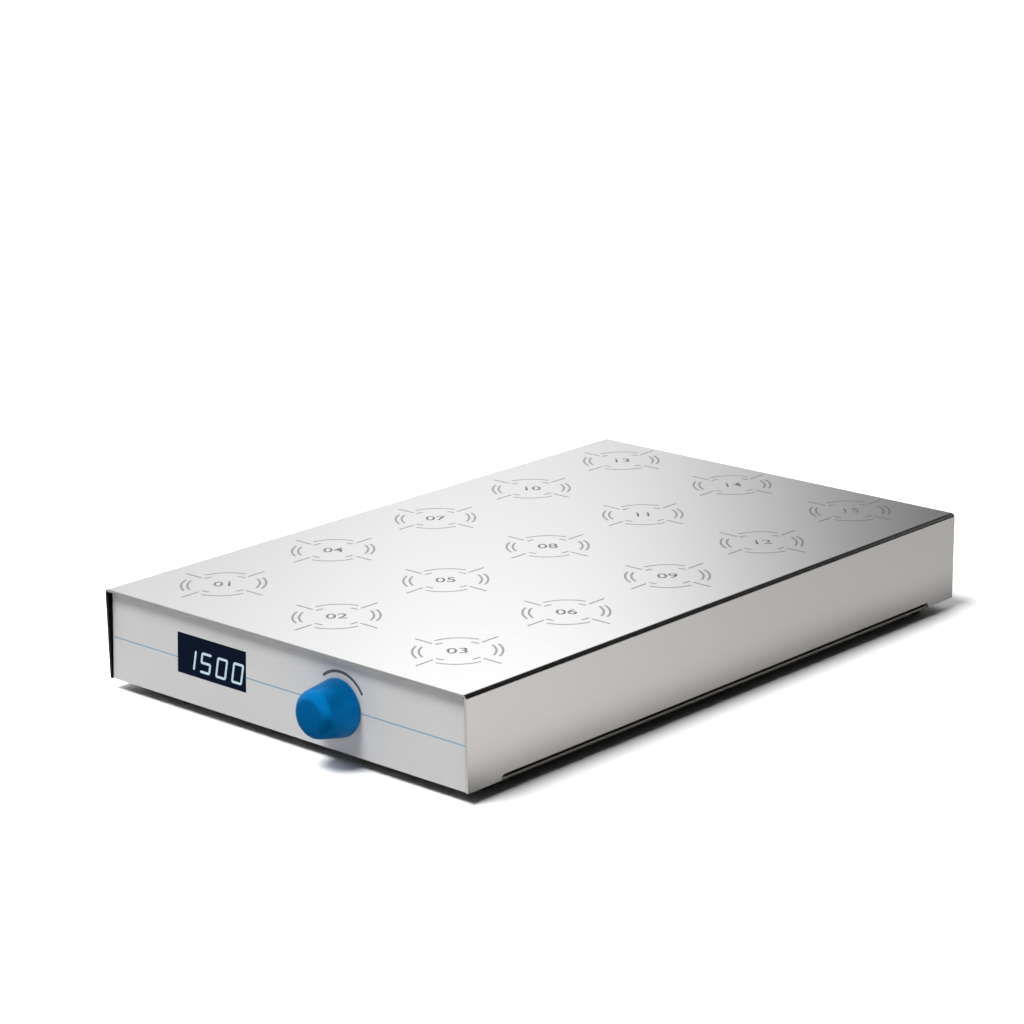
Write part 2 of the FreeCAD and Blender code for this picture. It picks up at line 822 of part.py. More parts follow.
def make_rocker_switch():
    """The rocker switch in the rear wall: a box with a border outside the wall, and the rocker in it."""
    pivot_y = f"({REAR_FACE} + bezel_height - rocker_pivot_depth)"
    bezel_width = "(switch_body_width + 2 * bezel_border)"
    bezel_rise = "(switch_body_height + 2 * bezel_border)"
    shell = box(
        "switch_body_width",
        "switch_body_depth + tray_sheet",
        "switch_body_height",
        x=f"{SWITCH_ACROSS} - switch_body_width / 2",
        y=f"{REAR_INSIDE} - switch_body_depth",
        z="socket_up - switch_body_height / 2",
    )
    border = box(
        bezel_width,
        "bezel_height",
        bezel_rise,
        x=f"{SWITCH_ACROSS} - {bezel_width} / 2",
        y=REAR_FACE,
        z=f"socket_up - {bezel_rise} / 2",
    )
    well_width, well_rise = "(rocker_width + 2 * rocker_gap)", "(2 * (rocker_radius + rocker_gap))"
    well_depth = "(rocker_radius + rocker_gap + rocker_pivot_depth)"
    well = box(
        well_width,
        well_depth,
        well_rise,
        x=f"{SWITCH_ACROSS} - {well_width} / 2",
        y=f"{REAR_FACE} + bezel_height - {well_depth}",
        z=f"socket_up - {well_rise} / 2",
    )
    pin_length = f"({well_width} + (switch_body_width - {well_width}) / 2)"
    quarter = {"turn": "90", "axis": Y_AXIS}
    pin_holes = cylinder(
        "pivot_radius + running_gap",
        f"{pin_length} + 2 * running_gap",
        x=f"{SWITCH_ACROSS} - {pin_length} / 2 - running_gap",
        y=pivot_y,
        z="socket_up",
        **quarter,
    )
    sub_part(cut(join(shell, border), well, pin_holes), "switch_body")

    drum = cylinder("rocker_radius", "rocker_width", x="-rocker_width / 2", **quarter)
    reach = "(2 * rocker_radius)"
    upper = box("2 * rocker_width", reach, reach, x="-rocker_width", y="rocker_crest", turn="-rocker_throw")
    lower = box(
        "2 * rocker_width",
        reach,
        reach,
        x="-rocker_width",
        y=f"rocker_crest + {reach} * sin(rocker_throw)",
        z=f"-{reach} * cos(rocker_throw)",
        turn="rocker_throw",
    )
    back = box(
        "2 * rocker_width",
        reach,
        f"2 * {reach}",
        x="-rocker_width",
        y=f"-{reach} - rocker_back",
        z=f"-{reach}",
    )
    pin = cylinder("pivot_radius", pin_length, x=f"-{pin_length} / 2", **quarter)
    rocker = join(cut(drum, upper, lower, back), pin)
    place(rocker, x=SWITCH_ACROSS, y=pivot_y, z="socket_up", turn="rocker_throw")
    sub_part(rocker, "switch_rocker")


def make_power_jack():
    """The low-voltage inlet: a threaded barrel through the rear wall with its pin and its nut."""
    outward = "-90"
    foot = f"({REAR_INSIDE} - jack_depth)"
    tip = "(jack_depth + tray_sheet + jack_reach)"
    floor = f"({tip} - jack_bore_depth)"
    jack = new_body("power_jack")
    block = new_sketch(jack, "XY_Plane")
    rectangle(block, "0", "0", "jack_side", "jack_side")
    pad(jack, block, "jack_depth")
    barrel = new_sketch(jack, "XY_Plane", lift="jack_depth")
    circle(barrel, "0", "0", "jack_thread_radius")
    pad(jack, barrel, "tray_sheet + jack_reach")
    mouth = new_sketch(jack, "XY_Plane", lift=tip)
    circle(mouth, "0", "0", "jack_bore_radius")
    pocket(jack, mouth, "jack_bore_depth")
    place(jack, x=JACK_ACROSS, y=foot, z="socket_up", turn=outward)

    middle = {"x": JACK_ACROSS, "z": "socket_up", "turn": outward}
    pin = cylinder("jack_pin_radius", "jack_bore_depth - jack_pin_recess", y=f"{foot} + {floor}", **middle)
    sub_part(pin, "jack_pin")
    nut = hexagon("jack_nut_flats", "jack_nut_height", y=REAR_FACE, **middle)
    thread = cylinder("jack_thread_radius + press_gap", "jack_nut_height", y=REAR_FACE, **middle)
    sub_part(cut(nut, thread), "jack_nut")


def write_sub_parts():
    """Checks every object and writes each sub-part's solids to its file."""
    doc.recompute()
    for item in doc.Objects:
        if "Invalid" in item.State or "Error" in item.State:
            raise RuntimeError(f"{item.Label} failed: {item.State}")
    for item in sub_parts:
        if item.Shape.isNull() or not item.Shape.isValid() or not item.Shape.Solids:
            raise RuntimeError(f"{item.Label} has no sound solid")
    os.makedirs("parts", exist_ok=True)
    for item in sub_parts:
        item.Shape.exportStep(f"parts/{item.Label}.step")
        print(item.Label, len(item.Shape.Solids), round(item.Shape.Volume, 1))


make_top_cover()
make_base_tray()
make_cover_brackets()
make_feet()
make_front_fascia()
make_display()
make_knob_and_pot()
make_motor_plate()
make_stir_motors()
for index, (across, along) in enumerate(positions(), start=1):
    make_stir_rotor(index, across, along)
make_control_board()
make_rocker_switch()
make_power_jack()
write_sub_parts()
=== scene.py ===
"""A flat bench stirrer with fifteen positions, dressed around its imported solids.

The solids come in as the frame, each in its own place.  The classes below finish them and add what a maker
would etch, print, light up or mould: the marks on the top, the print and digits of the front panel, the knob,
the signs at the back and the feet.  Sizes are in millimetres, and meshes are made in metres.
"""
import json
import logging
import math
from dataclasses import dataclass
from enum import Enum
from typing import Any, Callable, Mapping, Sequence, Union

import bpy
from mathutils import Matrix, Vector


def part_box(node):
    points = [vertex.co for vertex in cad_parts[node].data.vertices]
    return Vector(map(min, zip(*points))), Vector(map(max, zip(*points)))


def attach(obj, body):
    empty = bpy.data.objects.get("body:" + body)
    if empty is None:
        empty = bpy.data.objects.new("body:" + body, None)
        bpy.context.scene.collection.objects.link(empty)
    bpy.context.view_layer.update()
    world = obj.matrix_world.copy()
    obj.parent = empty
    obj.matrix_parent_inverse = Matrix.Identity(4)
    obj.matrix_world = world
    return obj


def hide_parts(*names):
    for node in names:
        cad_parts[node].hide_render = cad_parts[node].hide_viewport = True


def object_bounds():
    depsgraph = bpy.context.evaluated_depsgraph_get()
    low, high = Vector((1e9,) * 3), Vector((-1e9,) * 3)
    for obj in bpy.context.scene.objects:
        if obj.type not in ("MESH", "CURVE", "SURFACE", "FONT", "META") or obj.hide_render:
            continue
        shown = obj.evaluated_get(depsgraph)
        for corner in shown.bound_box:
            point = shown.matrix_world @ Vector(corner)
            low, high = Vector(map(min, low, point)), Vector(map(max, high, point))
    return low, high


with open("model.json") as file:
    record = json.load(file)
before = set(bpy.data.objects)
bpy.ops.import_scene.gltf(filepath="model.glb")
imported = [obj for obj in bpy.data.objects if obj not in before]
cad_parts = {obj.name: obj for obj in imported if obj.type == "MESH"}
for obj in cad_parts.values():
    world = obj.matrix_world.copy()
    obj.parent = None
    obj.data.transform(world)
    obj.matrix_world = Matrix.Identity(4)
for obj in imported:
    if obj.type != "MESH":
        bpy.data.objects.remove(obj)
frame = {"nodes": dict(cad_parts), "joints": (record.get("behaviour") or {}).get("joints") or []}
CAD_LOW, CAD_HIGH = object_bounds()
MM = 0.001
WELD = 0.002
FIGURE_SHARE = 0.69
LAYER_SHARE = 0.55
SPIN_SENSE = -1.0
LOG = logging.getLogger("stirrer")

Colour = tuple[float, float, float]
Reach = tuple[float, float]
Outline = Sequence[tuple[float, float]]
Operand = Union["Term", float]
Piece = bpy.types.Object
Material = bpy.types.Material
Socket = bpy.types.NodeSocket


class Term:
    """One number in a material, which takes part in arithmetic by adding Math nodes."""

    def __init__(self, shader: "Shader", socket: Socket) -> None:
        """Keeps the shader that the number belongs to and the socket that gives it."""
        self.shader = shader
        self.socket = socket

    def _join(self, operation: str, *values: Operand) -> "Term":
        """Adds one Math node with these values in its sockets, in order, and gives its result."""
        node = self.shader.add("ShaderNodeMath", {"operation": operation}, dict(enumerate(values)))
        return Term(self.shader, node.outputs[0])

    def __add__(self, other: Operand) -> "Term":
        """Gives the sum."""
        return self._join("ADD", self, other)

    def __sub__(self, other: Operand) -> "Term":
        """Gives the difference."""
        return self._join("SUBTRACT", self, other)

    def __rsub__(self, other: Operand) -> "Term":
        """Gives the difference, with the number first."""
        return self._join("SUBTRACT", other, self)

    def __mul__(self, other: Operand) -> "Term":
        """Gives the product."""
        return self._join("MULTIPLY", self, other)

    __radd__ = __add__
    __rmul__ = __mul__

    def __lt__(self, other: Operand) -> "Term":
        """Gives 1 where this number is the lower one."""
        return self._join("LESS_THAN", self, other)

    def __gt__(self, other: Operand) -> "Term":
        """Gives 1 where this number is the higher one."""
        return self._join("GREATER_THAN", self, other)

    def __abs__(self) -> "Term":
        """Gives the number without its sign."""
        return self._join("ABSOLUTE", self)

    def angle_from(self, other: Operand) -> "Term":
        """Gives the angle, in radians, whose tangent is this number over the other."""
        return self._join("ARCTAN2", self, other)


class Grain(Enum):
    """The way that a pattern runs, as a stretch for each axis."""

    EVEN = (1.0, 1.0, 1.0)
    ACROSS_Y = (0.012, 1.0, 0.012)
    ALONG_Y = (1.0, 0.012, 1.0)
    ACROSS_X = (1.0, 0.012, 0.012)


class Shader:
    """A node tree under construction, for a material or the world."""

    def __init__(self, owner: Union[Material, bpy.types.World]) -> None:
        """Empties the owner's node tree.

        Args:
            owner: the material or the world.
        """
        owner.use_nodes = True
        self.owner = owner
        self.tree = owner.node_tree
        self.tree.nodes.clear()

    @classmethod
    def of_material(cls, name: str) -> "Shader":
        """Starts a new material of that name."""
        return cls(bpy.data.materials.new(name))

    def add(
        self, kind: str, settings: Mapping[str, Any], entries: Mapping[Union[str, int], Any]
    ) -> bpy.types.Node:
        """Adds one node.

        Args:
            kind: the node's type.
            settings: its own settings, set first; "stops" holds a ramp's places and colours.
            entries: a value, a Term or a socket for each input, by name or number.

        Returns:
            The node.
        """
        node = self.tree.nodes.new(kind)
        for name, value in settings.items():
            if name == "stops":
                self._set_stops(node.color_ramp, value)
            else:
                setattr(node, name, value)
        for key, value in entries.items():
            source = value.socket if isinstance(value, Term) else value
            if isinstance(source, Socket):
                self.tree.links.new(source, node.inputs[key])
            else:
                node.inputs[key].default_value = source
        return node

    @staticmethod
    def _set_stops(ramp: bpy.types.ColorRamp, stops: Outline) -> None:
        """Gives a ramp its stops.

        Args:
            ramp: the ramp, which starts with two stops.
            stops: a place from 0 to 1 and a grey level for each.
        """
        while len(ramp.elements) < len(stops):
            ramp.elements.new(1.0)
        for element, (place, level) in zip(ramp.elements, stops):
            element.position = place
            element.color = (level, level, level, 1.0)

    def millimetres(self, grain: Grain = Grain.EVEN) -> Socket:
        """Gives the place on the piece, in millimetres.

        Args:
            grain: the way that a pattern runs there.

        Returns:
            A vector socket.
        """
        source = self.add("ShaderNodeTexCoord", {}, {})
        factors = tuple(value / MM for value in grain.value)
        entries = {0: source.outputs["Object"], 1: factors}
        return self.add("ShaderNodeVectorMath", {"operation": "MULTIPLY"}, entries).outputs[0]

    def axes(self) -> tuple[Term, Term, Term]:
        """Returns the place on the piece as three numbers, in millimetres."""
        node = self.add("ShaderNodeSeparateXYZ", {}, {0: self.millimetres()})
        x, y, z = (Term(self, socket) for socket in node.outputs)
        return x, y, z

    def noise(self, size: float, detail: float, grain: Grain = Grain.EVEN) -> Term:
        """Gives a soft random pattern.

        Args:
            size: the size of its patches, in millimetres.
            detail: how many finer layers it has.
            grain: the way that it runs.

        Returns:
            A number from 0 to 1.
        """
        entries = {"Vector": self.millimetres(grain), "Scale": 1.0 / size}
        entries |= {"Detail": detail, "Roughness": LAYER_SHARE}
        node = self.add("ShaderNodeTexNoise", {"noise_dimensions": "3D"}, entries)
        return Term(self, node.outputs["Fac"])

    def specks(self, size: float) -> Term:
        """Gives the distance to the nearest of many points, scattered this many millimetres apart."""
        node = self.add("ShaderNodeTexVoronoi", {}, {"Vector": self.millimetres(), "Scale": 1.0 / size})
        return Term(self, node.outputs["Distance"])

    def step(self, value: Term, low: float, high: float) -> Term:
        """Makes a soft step.

        Args:
            value: the number that is looked at.
            low: where the step starts.
            high: where it ends.

        Returns:
            A number, 0 below the low value and 1 above the high one.
        """
        entries = {"Value": value, "From Min": low, "From Max": high}
        node = self.add("ShaderNodeMapRange", {"interpolation_type": "SMOOTHSTEP"}, entries)
        return Term(self, node.outputs["Result"])

    def mix(self, share: Operand, first: Any, second: Any) -> Socket:
        """Mixes two colours.

        Args:
            share: how much of the second one is taken.
            first: a colour or a colour socket.
            second: a colour or a colour socket.

        Returns:
            A colour socket.
        """
        pair = [(*c, 1.0) if isinstance(c, tuple) else c for c in (first, second)]
        node = self.add("ShaderNodeMix", {"data_type": "RGBA"}, {0: share, 6: pair[0], 7: pair[1]})
        return node.outputs[2]

    def scaled(self, colour: Any, factor: Operand) -> Socket:
        """Gives a colour, or a colour socket's colour, times a number."""
        node = self.add("ShaderNodeVectorMath", {"operation": "SCALE"}, {0: colour, "Scale": factor})
        return node.outputs[0]

    def bump(self, height: Term, depth: float, strength: float) -> Socket:
        """Gives the normal bent by a height from 0 to 1, where 1 is this many millimetres deep."""
        entries = {"Height": height, "Distance": depth * MM, "Strength": strength}
        return self.add("ShaderNodeBump", {}, entries).outputs[0]

    def close(self, **entries: Any) -> Material:
        """Ends the material with one plain surface.

        Args:
            entries: the surface's inputs, with underscores for spaces.

        Returns:
            The material.
        """
        named = {}
        for key, value in entries.items():
            colour = isinstance(value, tuple) and len(value) == 3
            named[key.replace("_", " ")] = (*value, 1.0) if colour else value
        surface = self.add("ShaderNodeBsdfPrincipled", {}, named)
        self.add("ShaderNodeOutputMaterial", {}, {"Surface": surface.outputs[0]})
        return self.owner


@dataclass(frozen=True)
class BrushedSteel:
    """Stainless sheet with fine brush lines, raw cut edges, painted shade and a painted warm reflection."""

    name: str = "brushed_steel"
    light: Colour = (0.655, 0.655, 0.655)
    dark: Colour = (0.615, 0.615, 0.615)
    # Painted reflection: a warmer tint for the cheeks' outer faces than for the top.
    painted_reflection_tint: Colour = (0.640, 0.618, 0.598)
    # Raw cut edge, darkened grey as painted shade; used on the top's front edge only.
    cut: Colour = (0.42, 0.42, 0.42)
    # Painted shade: near-black for the cover's inside faces and the left cheek's front edge.
    shade: Colour = (0.006, 0.006, 0.006)
    roughness: float = 0.15
    line: float = 0.35
    band: float = 9.0
    cloud: float = 60.0
    sheet: float = 1.5
    skin: float = 0.05

    def material(self) -> Material:
        """Returns the finish as a new material."""
        low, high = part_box("top_cover")
        half = high.x / MM
        inside_half = half - self.sheet + self.skin
        inside_top = high.z / MM - self.sheet + self.skin
        shader = Shader.of_material(self.name)
        lines = shader.noise(self.line, 3.0, Grain.ACROSS_Y)
        bands = shader.noise(self.band, 1.0, Grain.ACROSS_Y)
        clouds = shader.noise(self.cloud, 3.0)
        x, y, z = shader.axes()
        inside = (abs(x) < inside_half) * (z < inside_top)
        front_edge = y < low.y / MM + 2 * self.skin
        left_edge = (x < -inside_half) * front_edge
        shaded_top_edge = (z > inside_top) * front_edge
        # Painted shade: the cover's inside faces and the left cheek's front edge are turned near-black,
        # standing in for the shade that falls there.
        painted_shade_faces = inside + left_edge - inside * left_edge
        tone = shader.mix(0.5 * lines + 0.5 * bands, self.dark, self.light)
        # Painted reflection: the cheeks' outer faces take a warmer tint than the top, standing in for the
        # warm reflection that they show.
        tone = shader.mix(abs(x) > half - 2 * self.skin, tone, self.painted_reflection_tint)
        # Partly painted shade: the top's front cut edge is a darker grey than the cheek's cut edge, blending
        # into the shade under the overhang.
        tone = shader.mix(shaded_top_edge, tone, self.cut)
        rough = self.roughness + 0.05 * lines + 0.04 * clouds + 0.25 * painted_shade_faces + 0.2 * front_edge
        return shader.close(
            Base_Color=shader.mix(painted_shade_faces, tone, self.shade),
            Metallic=1.0 - front_edge,
            Roughness=rough,
            Normal=shader.bump(lines, 0.003, 0.15),
        )


@dataclass(frozen=True)
class TwoTone:
    """A finish in two tones, mixed by a fine pattern and by clouds, which also change how rough it is."""

    name: str
    light: Colour
    dark: Colour
    roughness: float
    grain: Grain = Grain.EVEN
    fine: float = 0.4
    fine_detail: float = 3.0
    fine_share: float = 0.5
    fine_rough: float = 0.0
    cloud: float = 14.0
    cloud_detail: float = 3.0
    cloud_rough: float = 0.0
    metallic: float = 0.0
    gloss: float = 0.5
    depth: float = 0.0
    strength: float = 0.0

    def material(self) -> Material:
        """Returns the finish as a new material."""
        shader = Shader.of_material(self.name)
        fine = shader.noise(self.fine, self.fine_detail, self.grain)
        clouds = shader.noise(self.cloud, self.cloud_detail)
        share = self.fine_share * fine + (1.0 - self.fine_share) * clouds
        surface = {
            "Base_Color": shader.mix(share, self.dark, self.light),
            "Metallic": self.metallic,
            "Roughness": self.roughness + self.fine_rough * fine + self.cloud_rough * clouds,
            "Specular_IOR_Level": self.gloss,
        }
        if self.depth:
            surface["Normal"] = shader.bump(fine, self.depth, self.strength)
        return shader.close(**surface)


@dataclass(frozen=True)
class DrawnMetal(TwoTone):
    """Plated, drawn or rolled metal with faint lines and clouds."""

    roughness: float = 0.32
    grain: Grain = Grain.ACROSS_Y
    fine_share: float = 0.55
    fine_rough: float = 0.06
    cloud: float = 9.0
    cloud_detail: float = 4.0
    cloud_rough: float = 0.16
    metallic: float = 1.0
    depth: float = 0.006
    strength: float = 0.4


@dataclass(frozen=True)
class TraySteel:
    """Sheet steel with dull side edges, and painted shade: near-black on its underside and lowest walls."""

    name: str = "tray_steel"
    light: Colour = (0.56, 0.555, 0.545)
    dark: Colour = (0.46, 0.455, 0.445)
    # Painted shade: near-black for the underside and the lowest walls, where the shade under the case falls.
    under_shade: Colour = (0.018, 0.018, 0.016)
    edge: Colour = (0.36, 0.345, 0.29)
    under_shade_height: float = 3.0
    line: float = 0.5
    cloud: float = 22.0
    skin: float = 0.1

    def material(self) -> Material:
        """Returns the finish as a new material."""
        low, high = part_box("base_tray")
        bottom = low.z / MM
        shader = Shader.of_material(self.name)
        lines = shader.noise(self.line, 3.0, Grain.ACROSS_X)
        clouds = shader.noise(self.cloud, 4.0)
        x, _, z = shader.axes()
        dull = (abs(x) > high.x / MM - self.skin) * (z > bottom + self.skin)
        # Painted shade: the lowest band of the tray is near-black instead of steel, for the shade under the
        # case.
        under_shaded = z < bottom + self.under_shade_height
        tone = shader.mix(0.5 * lines + 0.5 * clouds, self.dark, self.light)
        return shader.close(
            Base_Color=shader.mix(under_shaded, tone, shader.mix(dull, self.under_shade, self.edge)),
            Metallic=1.0 - under_shaded,
            Roughness=0.30 + 0.12 * clouds + 0.25 * under_shaded,
            Specular_IOR_Level=0.15,
            Normal=shader.bump(lines, 0.005, 0.3),
        )


@dataclass(frozen=True)
class SatinPanel(TwoTone):
    """Silver-painted panel with a fine even grain."""

    name: str = "satin_panel"
    light: Colour = (0.79, 0.79, 0.79)
    dark: Colour = (0.745, 0.745, 0.745)
    roughness: float = 0.42
    fine: float = 0.25
    fine_detail: float = 2.0
    fine_share: float = 0.6
    fine_rough: float = 0.12
    cloud: float = 30.0
    gloss: float = 0.25
    depth: float = 0.01
    strength: float = 0.3


@dataclass(frozen=True)
class Moulded(TwoTone):
    """Moulded plastic or rubber with a fine spark-eroded skin."""

    fine: float = 0.35
    fine_share: float = 0.35
    fine_rough: float = 0.10
    cloud_rough: float = 0.06
    gloss: float = 0.4
    depth: float = 0.02
    strength: float = 0.35


@dataclass(frozen=True)
class DarkLens(TwoTone):
    """Tinted window, almost black, with a smooth skin that is faintly wiped."""

    name: str = "dark_lens"
    light: Colour = (0.0062, 0.0135, 0.0345)
    dark: Colour = (0.0032, 0.0080, 0.0225)
    roughness: float = 0.16
    grain: Grain = Grain.ACROSS_X
    fine: float = 2.0
    fine_share: float = 0.0
    fine_rough: float = 0.10
    cloud: float = 16.0
    gloss: float = 0.06


@dataclass(frozen=True)
class LitSegment:
    """Lit part of a digit, with a slightly uneven glow."""

    name: str = "lit_segment"
    light: Colour = (0.55, 0.70, 0.78)
    dark: Colour = (0.43, 0.59, 0.69)
    unlit: Colour = (0.02, 0.02, 0.02)
    patch: float = 1.2

    def material(self) -> Material:
        """Returns the finish as a new material."""
        shader = Shader.of_material(self.name)
        tone = shader.mix(shader.noise(self.patch, 2.0), self.dark, self.light)
        return shader.close(Base_Color=self.unlit, Roughness=0.5, Emission_Color=tone, Emission_Strength=1.0)


@dataclass(frozen=True)
class Ink(TwoTone):
    """Print or etching, with a slightly uneven tone."""

    roughness: float = 0.5
    fine: float = 0.8
    fine_share: float = 1.0
    fine_rough: float = 0.15
    gloss: float = 0.2


@dataclass(frozen=True)
class CircuitBoard:
    """Green lacquer over copper tracks."""

    name: str = "circuit_board"
    lacquer: Colour = (0.012, 0.10, 0.035)
    track: Colour = (0.03, 0.20, 0.07)
    track_pitch: float = 2.2
    track_edge: Reach = (0.50, 0.53)
    via_pitch: float = 6.0
    via_edge: Reach = (0.10, 0.14)

    def material(self) -> Material:
        """Returns the finish as a new material."""
        shader = Shader.of_material(self.name)
        tracks = shader.step(shader.noise(self.track_pitch, 0.0, Grain.ALONG_Y), *self.track_edge)
        vias = 1.0 - shader.step(shader.specks(self.via_pitch), *self.via_edge)
        copper = tracks + vias - tracks * vias
        return shader.close(
            Base_Color=shader.mix(copper, self.lacquer, self.track),
            Roughness=0.30 + 0.08 * copper,
            Normal=shader.bump(copper, 0.04, 0.5),
        )


class Pick(Enum):
    """What a choice in a mesh selects."""

    VERTS = (True, False, False)
    FACES = (False, False, True)


class Bench:
    """Blender's modelling tools, used as by hand."""

    @staticmethod
    def named(name: str) -> Piece:
        """Names the active piece and its mesh.

        Args:
            name: the name of both.

        Returns:
            That piece.
        """
        piece = bpy.context.object
        piece.name = name
        piece.data.name = name
        return piece

    @classmethod
    def start(cls, name: str, operator: Callable[..., Any], **options: Any) -> Piece:
        """Adds one primitive with nothing else selected.

        Args:
            name: the new piece's name.
            operator: the operator that adds it.
            options: the operator's options.

        Returns:
            The new piece.
        """
        bpy.ops.object.select_all(action="DESELECT")
        operator(**options)
        return cls.named(name)

    @staticmethod
    def take(*pieces: Piece) -> None:
        """Selects these pieces alone and makes the first one active.

        Args:
            pieces: what is selected.
        """
        bpy.ops.object.select_all(action="DESELECT")
        for piece in pieces:
            piece.select_set(True)
        bpy.context.view_layer.objects.active = pieces[0]

    @classmethod
    def edit(cls, piece: Piece, kind: Pick, test: Callable[[Vector, Vector], bool]) -> None:
        """Opens a piece for editing with some of its elements selected.

        Args:
            piece: the piece.
            kind: what is selected.
            test: says yes to an element by its centre and normal.
        """
        cls.take(piece)
        bpy.context.tool_settings.mesh_select_mode = kind.value
        bpy.ops.object.mode_set(mode="EDIT")
        bpy.ops.mesh.select_all(action="DESELECT")
        bpy.ops.object.mode_set(mode="OBJECT")
        if kind is Pick.FACES:
            for face in piece.data.polygons:
                face.select = test(face.center, face.normal)
        else:
            for vertex in piece.data.vertices:
                vertex.select = test(vertex.co, vertex.normal)
        bpy.ops.object.mode_set(mode="EDIT")

    @staticmethod
    def weld() -> None:
        """Merges the doubles of the piece that is open."""
        bpy.ops.mesh.select_all(action="SELECT")
        bpy.ops.mesh.remove_doubles(threshold=WELD * MM)

    @classmethod
    def turned(cls, name: str, outline: Outline, sides: int) -> Piece:
        """Turns a closed body about +Z by extruding a disc from ring to ring.

        Args:
            name: the piece's name.
            outline: the height and radius of each ring, in millimetres.
            sides: how many sides a ring has.

        Returns:
            The piece.
        """
        height, radius = outline[0]
        disc = {"vertices": sides, "radius": radius * MM, "fill_type": "NGON", "location": (0.0, 0.0, 0.0)}
        piece = cls.start(name, bpy.ops.mesh.primitive_circle_add, **disc)
        cls.edit(piece, Pick.FACES, lambda centre, normal: True)
        bpy.ops.transform.translate(value=(0.0, 0.0, height * MM))
        for next_height, next_radius in outline[1:]:
            rise = (0.0, 0.0, (next_height - height) * MM)
            bpy.ops.mesh.extrude_region_move(TRANSFORM_OT_translate={"value": rise})
            ratio = next_radius / radius
            bpy.ops.transform.resize(value=(ratio, ratio, 1.0))
            height, radius = next_height, next_radius
        cls.weld()
        bpy.ops.mesh.normals_make_consistent(inside=False)
        bpy.ops.object.mode_set(mode="OBJECT")
        return piece

    @classmethod
    def arc(cls, name: str, radius: float, width: float, start: float, sweep: float, steps: int) -> Piece:
        """Sweeps a short edge about the origin into a flat curved strip.

        Args:
            name: the piece's name.
            radius: the radius of its middle line, in millimetres.
            width: its width, in millimetres.
            start: where the strip starts, in degrees from +X.
            sweep: how far it goes, in degrees.
            steps: how many faces it has.

        Returns:
            The strip, facing +Z.
        """
        piece = cls.start(name, bpy.ops.mesh.primitive_plane_add, size=width * MM)
        cls.edit(piece, Pick.VERTS, lambda centre, normal: centre.y > 0.0)
        bpy.ops.mesh.delete(type="VERT")
        bpy.ops.mesh.select_all(action="SELECT")
        bpy.ops.transform.translate(value=(radius * MM, width / 2 * MM, 0.0))
        bpy.ops.object.mode_set(mode="OBJECT")
        piece.data.transform(Matrix.Rotation(math.radians(start), 4, "Z"))
        bpy.ops.object.mode_set(mode="EDIT")
        bpy.ops.mesh.select_all(action="SELECT")
        cls.spin(steps, sweep)
        cls.weld()
        cls.face_up(piece)
        return piece

    @staticmethod
    def spin(steps: int, sweep: float) -> None:
        """Sweeps what is selected about +Z, with the angle in degrees from +X towards +Y."""
        turn = SPIN_SENSE * math.radians(sweep)
        bpy.ops.mesh.spin(steps=steps, angle=turn, center=(0.0, 0.0, 0.0), axis=(0.0, 0.0, 1.0))

    @classmethod
    def face_up(cls, piece: Piece) -> None:
        """Closes a flat piece that is open for editing and turns its faces towards +Z.

        Args:
            piece: the flat piece.
        """
        bpy.ops.object.mode_set(mode="OBJECT")
        cls.edit(piece, Pick.FACES, lambda centre, normal: normal.z < 0.0)
        bpy.ops.mesh.flip_normals()
        bpy.ops.object.mode_set(mode="OBJECT")

    @classmethod
    def bar(cls, name: str, length: float, width: float, point: float) -> Piece:
        """Makes a flat bar along X with its corners cut off.

        Args:
            name: the piece's name.
            length: its length, in millimetres.
            width: its width, in millimetres.
            point: how much each corner loses, in millimetres.

        Returns:
            The bar, facing +Z.
        """
        piece = cls.start(name, bpy.ops.mesh.primitive_plane_add, size=MM)
        cls.edit(piece, Pick.VERTS, lambda centre, normal: True)
        bpy.ops.transform.resize(value=(length, width, 1.0))
        bpy.ops.mesh.bevel(offset=point * MM, affect="VERTICES", segments=1)
        cls.face_up(piece)
        return piece

    @classmethod
    def words(cls, name: str, text: str, height: float, weight: float) -> Piece:
        """Makes flat lettering, centred on the origin.

        Args:
            name: the piece's name.
            text: what it says.
            height: the height of its figures, in millimetres.
            weight: how far its strokes grow to each side, in millimetres.

        Returns:
            The lettering as a mesh, facing +Z.
        """
        piece = cls.start(name, bpy.ops.object.text_add)
        piece.data.body = text
        piece.data.size = height * MM / FIGURE_SHARE
        piece.data.offset = weight * MM
        piece.data.align_x = "CENTER"
        piece.data.align_y = "CENTER"
        piece.data.resolution_u = 4
        bpy.ops.object.convert(target="MESH")
        piece = bpy.context.object
        cls.edit(piece, Pick.VERTS, lambda centre, normal: True)
        cls.weld()
        cls.face_up(piece)
        return piece

    @classmethod
    def put(cls, piece: Piece, place: Matrix) -> Piece:
        """Moves a piece and puts its place into its mesh.

        Args:
            piece: the piece.
            place: the move, in metres.

        Returns:
            The same piece.
        """
        cls.take(piece)
        piece.matrix_world = place @ piece.matrix_world
        bpy.ops.object.transform_apply(location=True, rotation=True, scale=True)
        return piece

    @classmethod
    def join(cls, name: str, pieces: Sequence[Piece]) -> Piece:
        """Joins pieces into one.

        Args:
            name: the joined piece's name.
            pieces: what is joined.

        Returns:
            The joined piece.
        """
        cls.take(*pieces)
        bpy.ops.object.join()
        return cls.named(name)

    @classmethod
    def copy(cls, piece: Piece, name: str) -> Piece:
        """Copies a piece with a mesh of its own.

        Args:
            piece: what is copied.
            name: the copy's name.

        Returns:
            The copy.
        """
        cls.take(piece)
        bpy.ops.object.duplicate(linked=False)
        return cls.named(name)

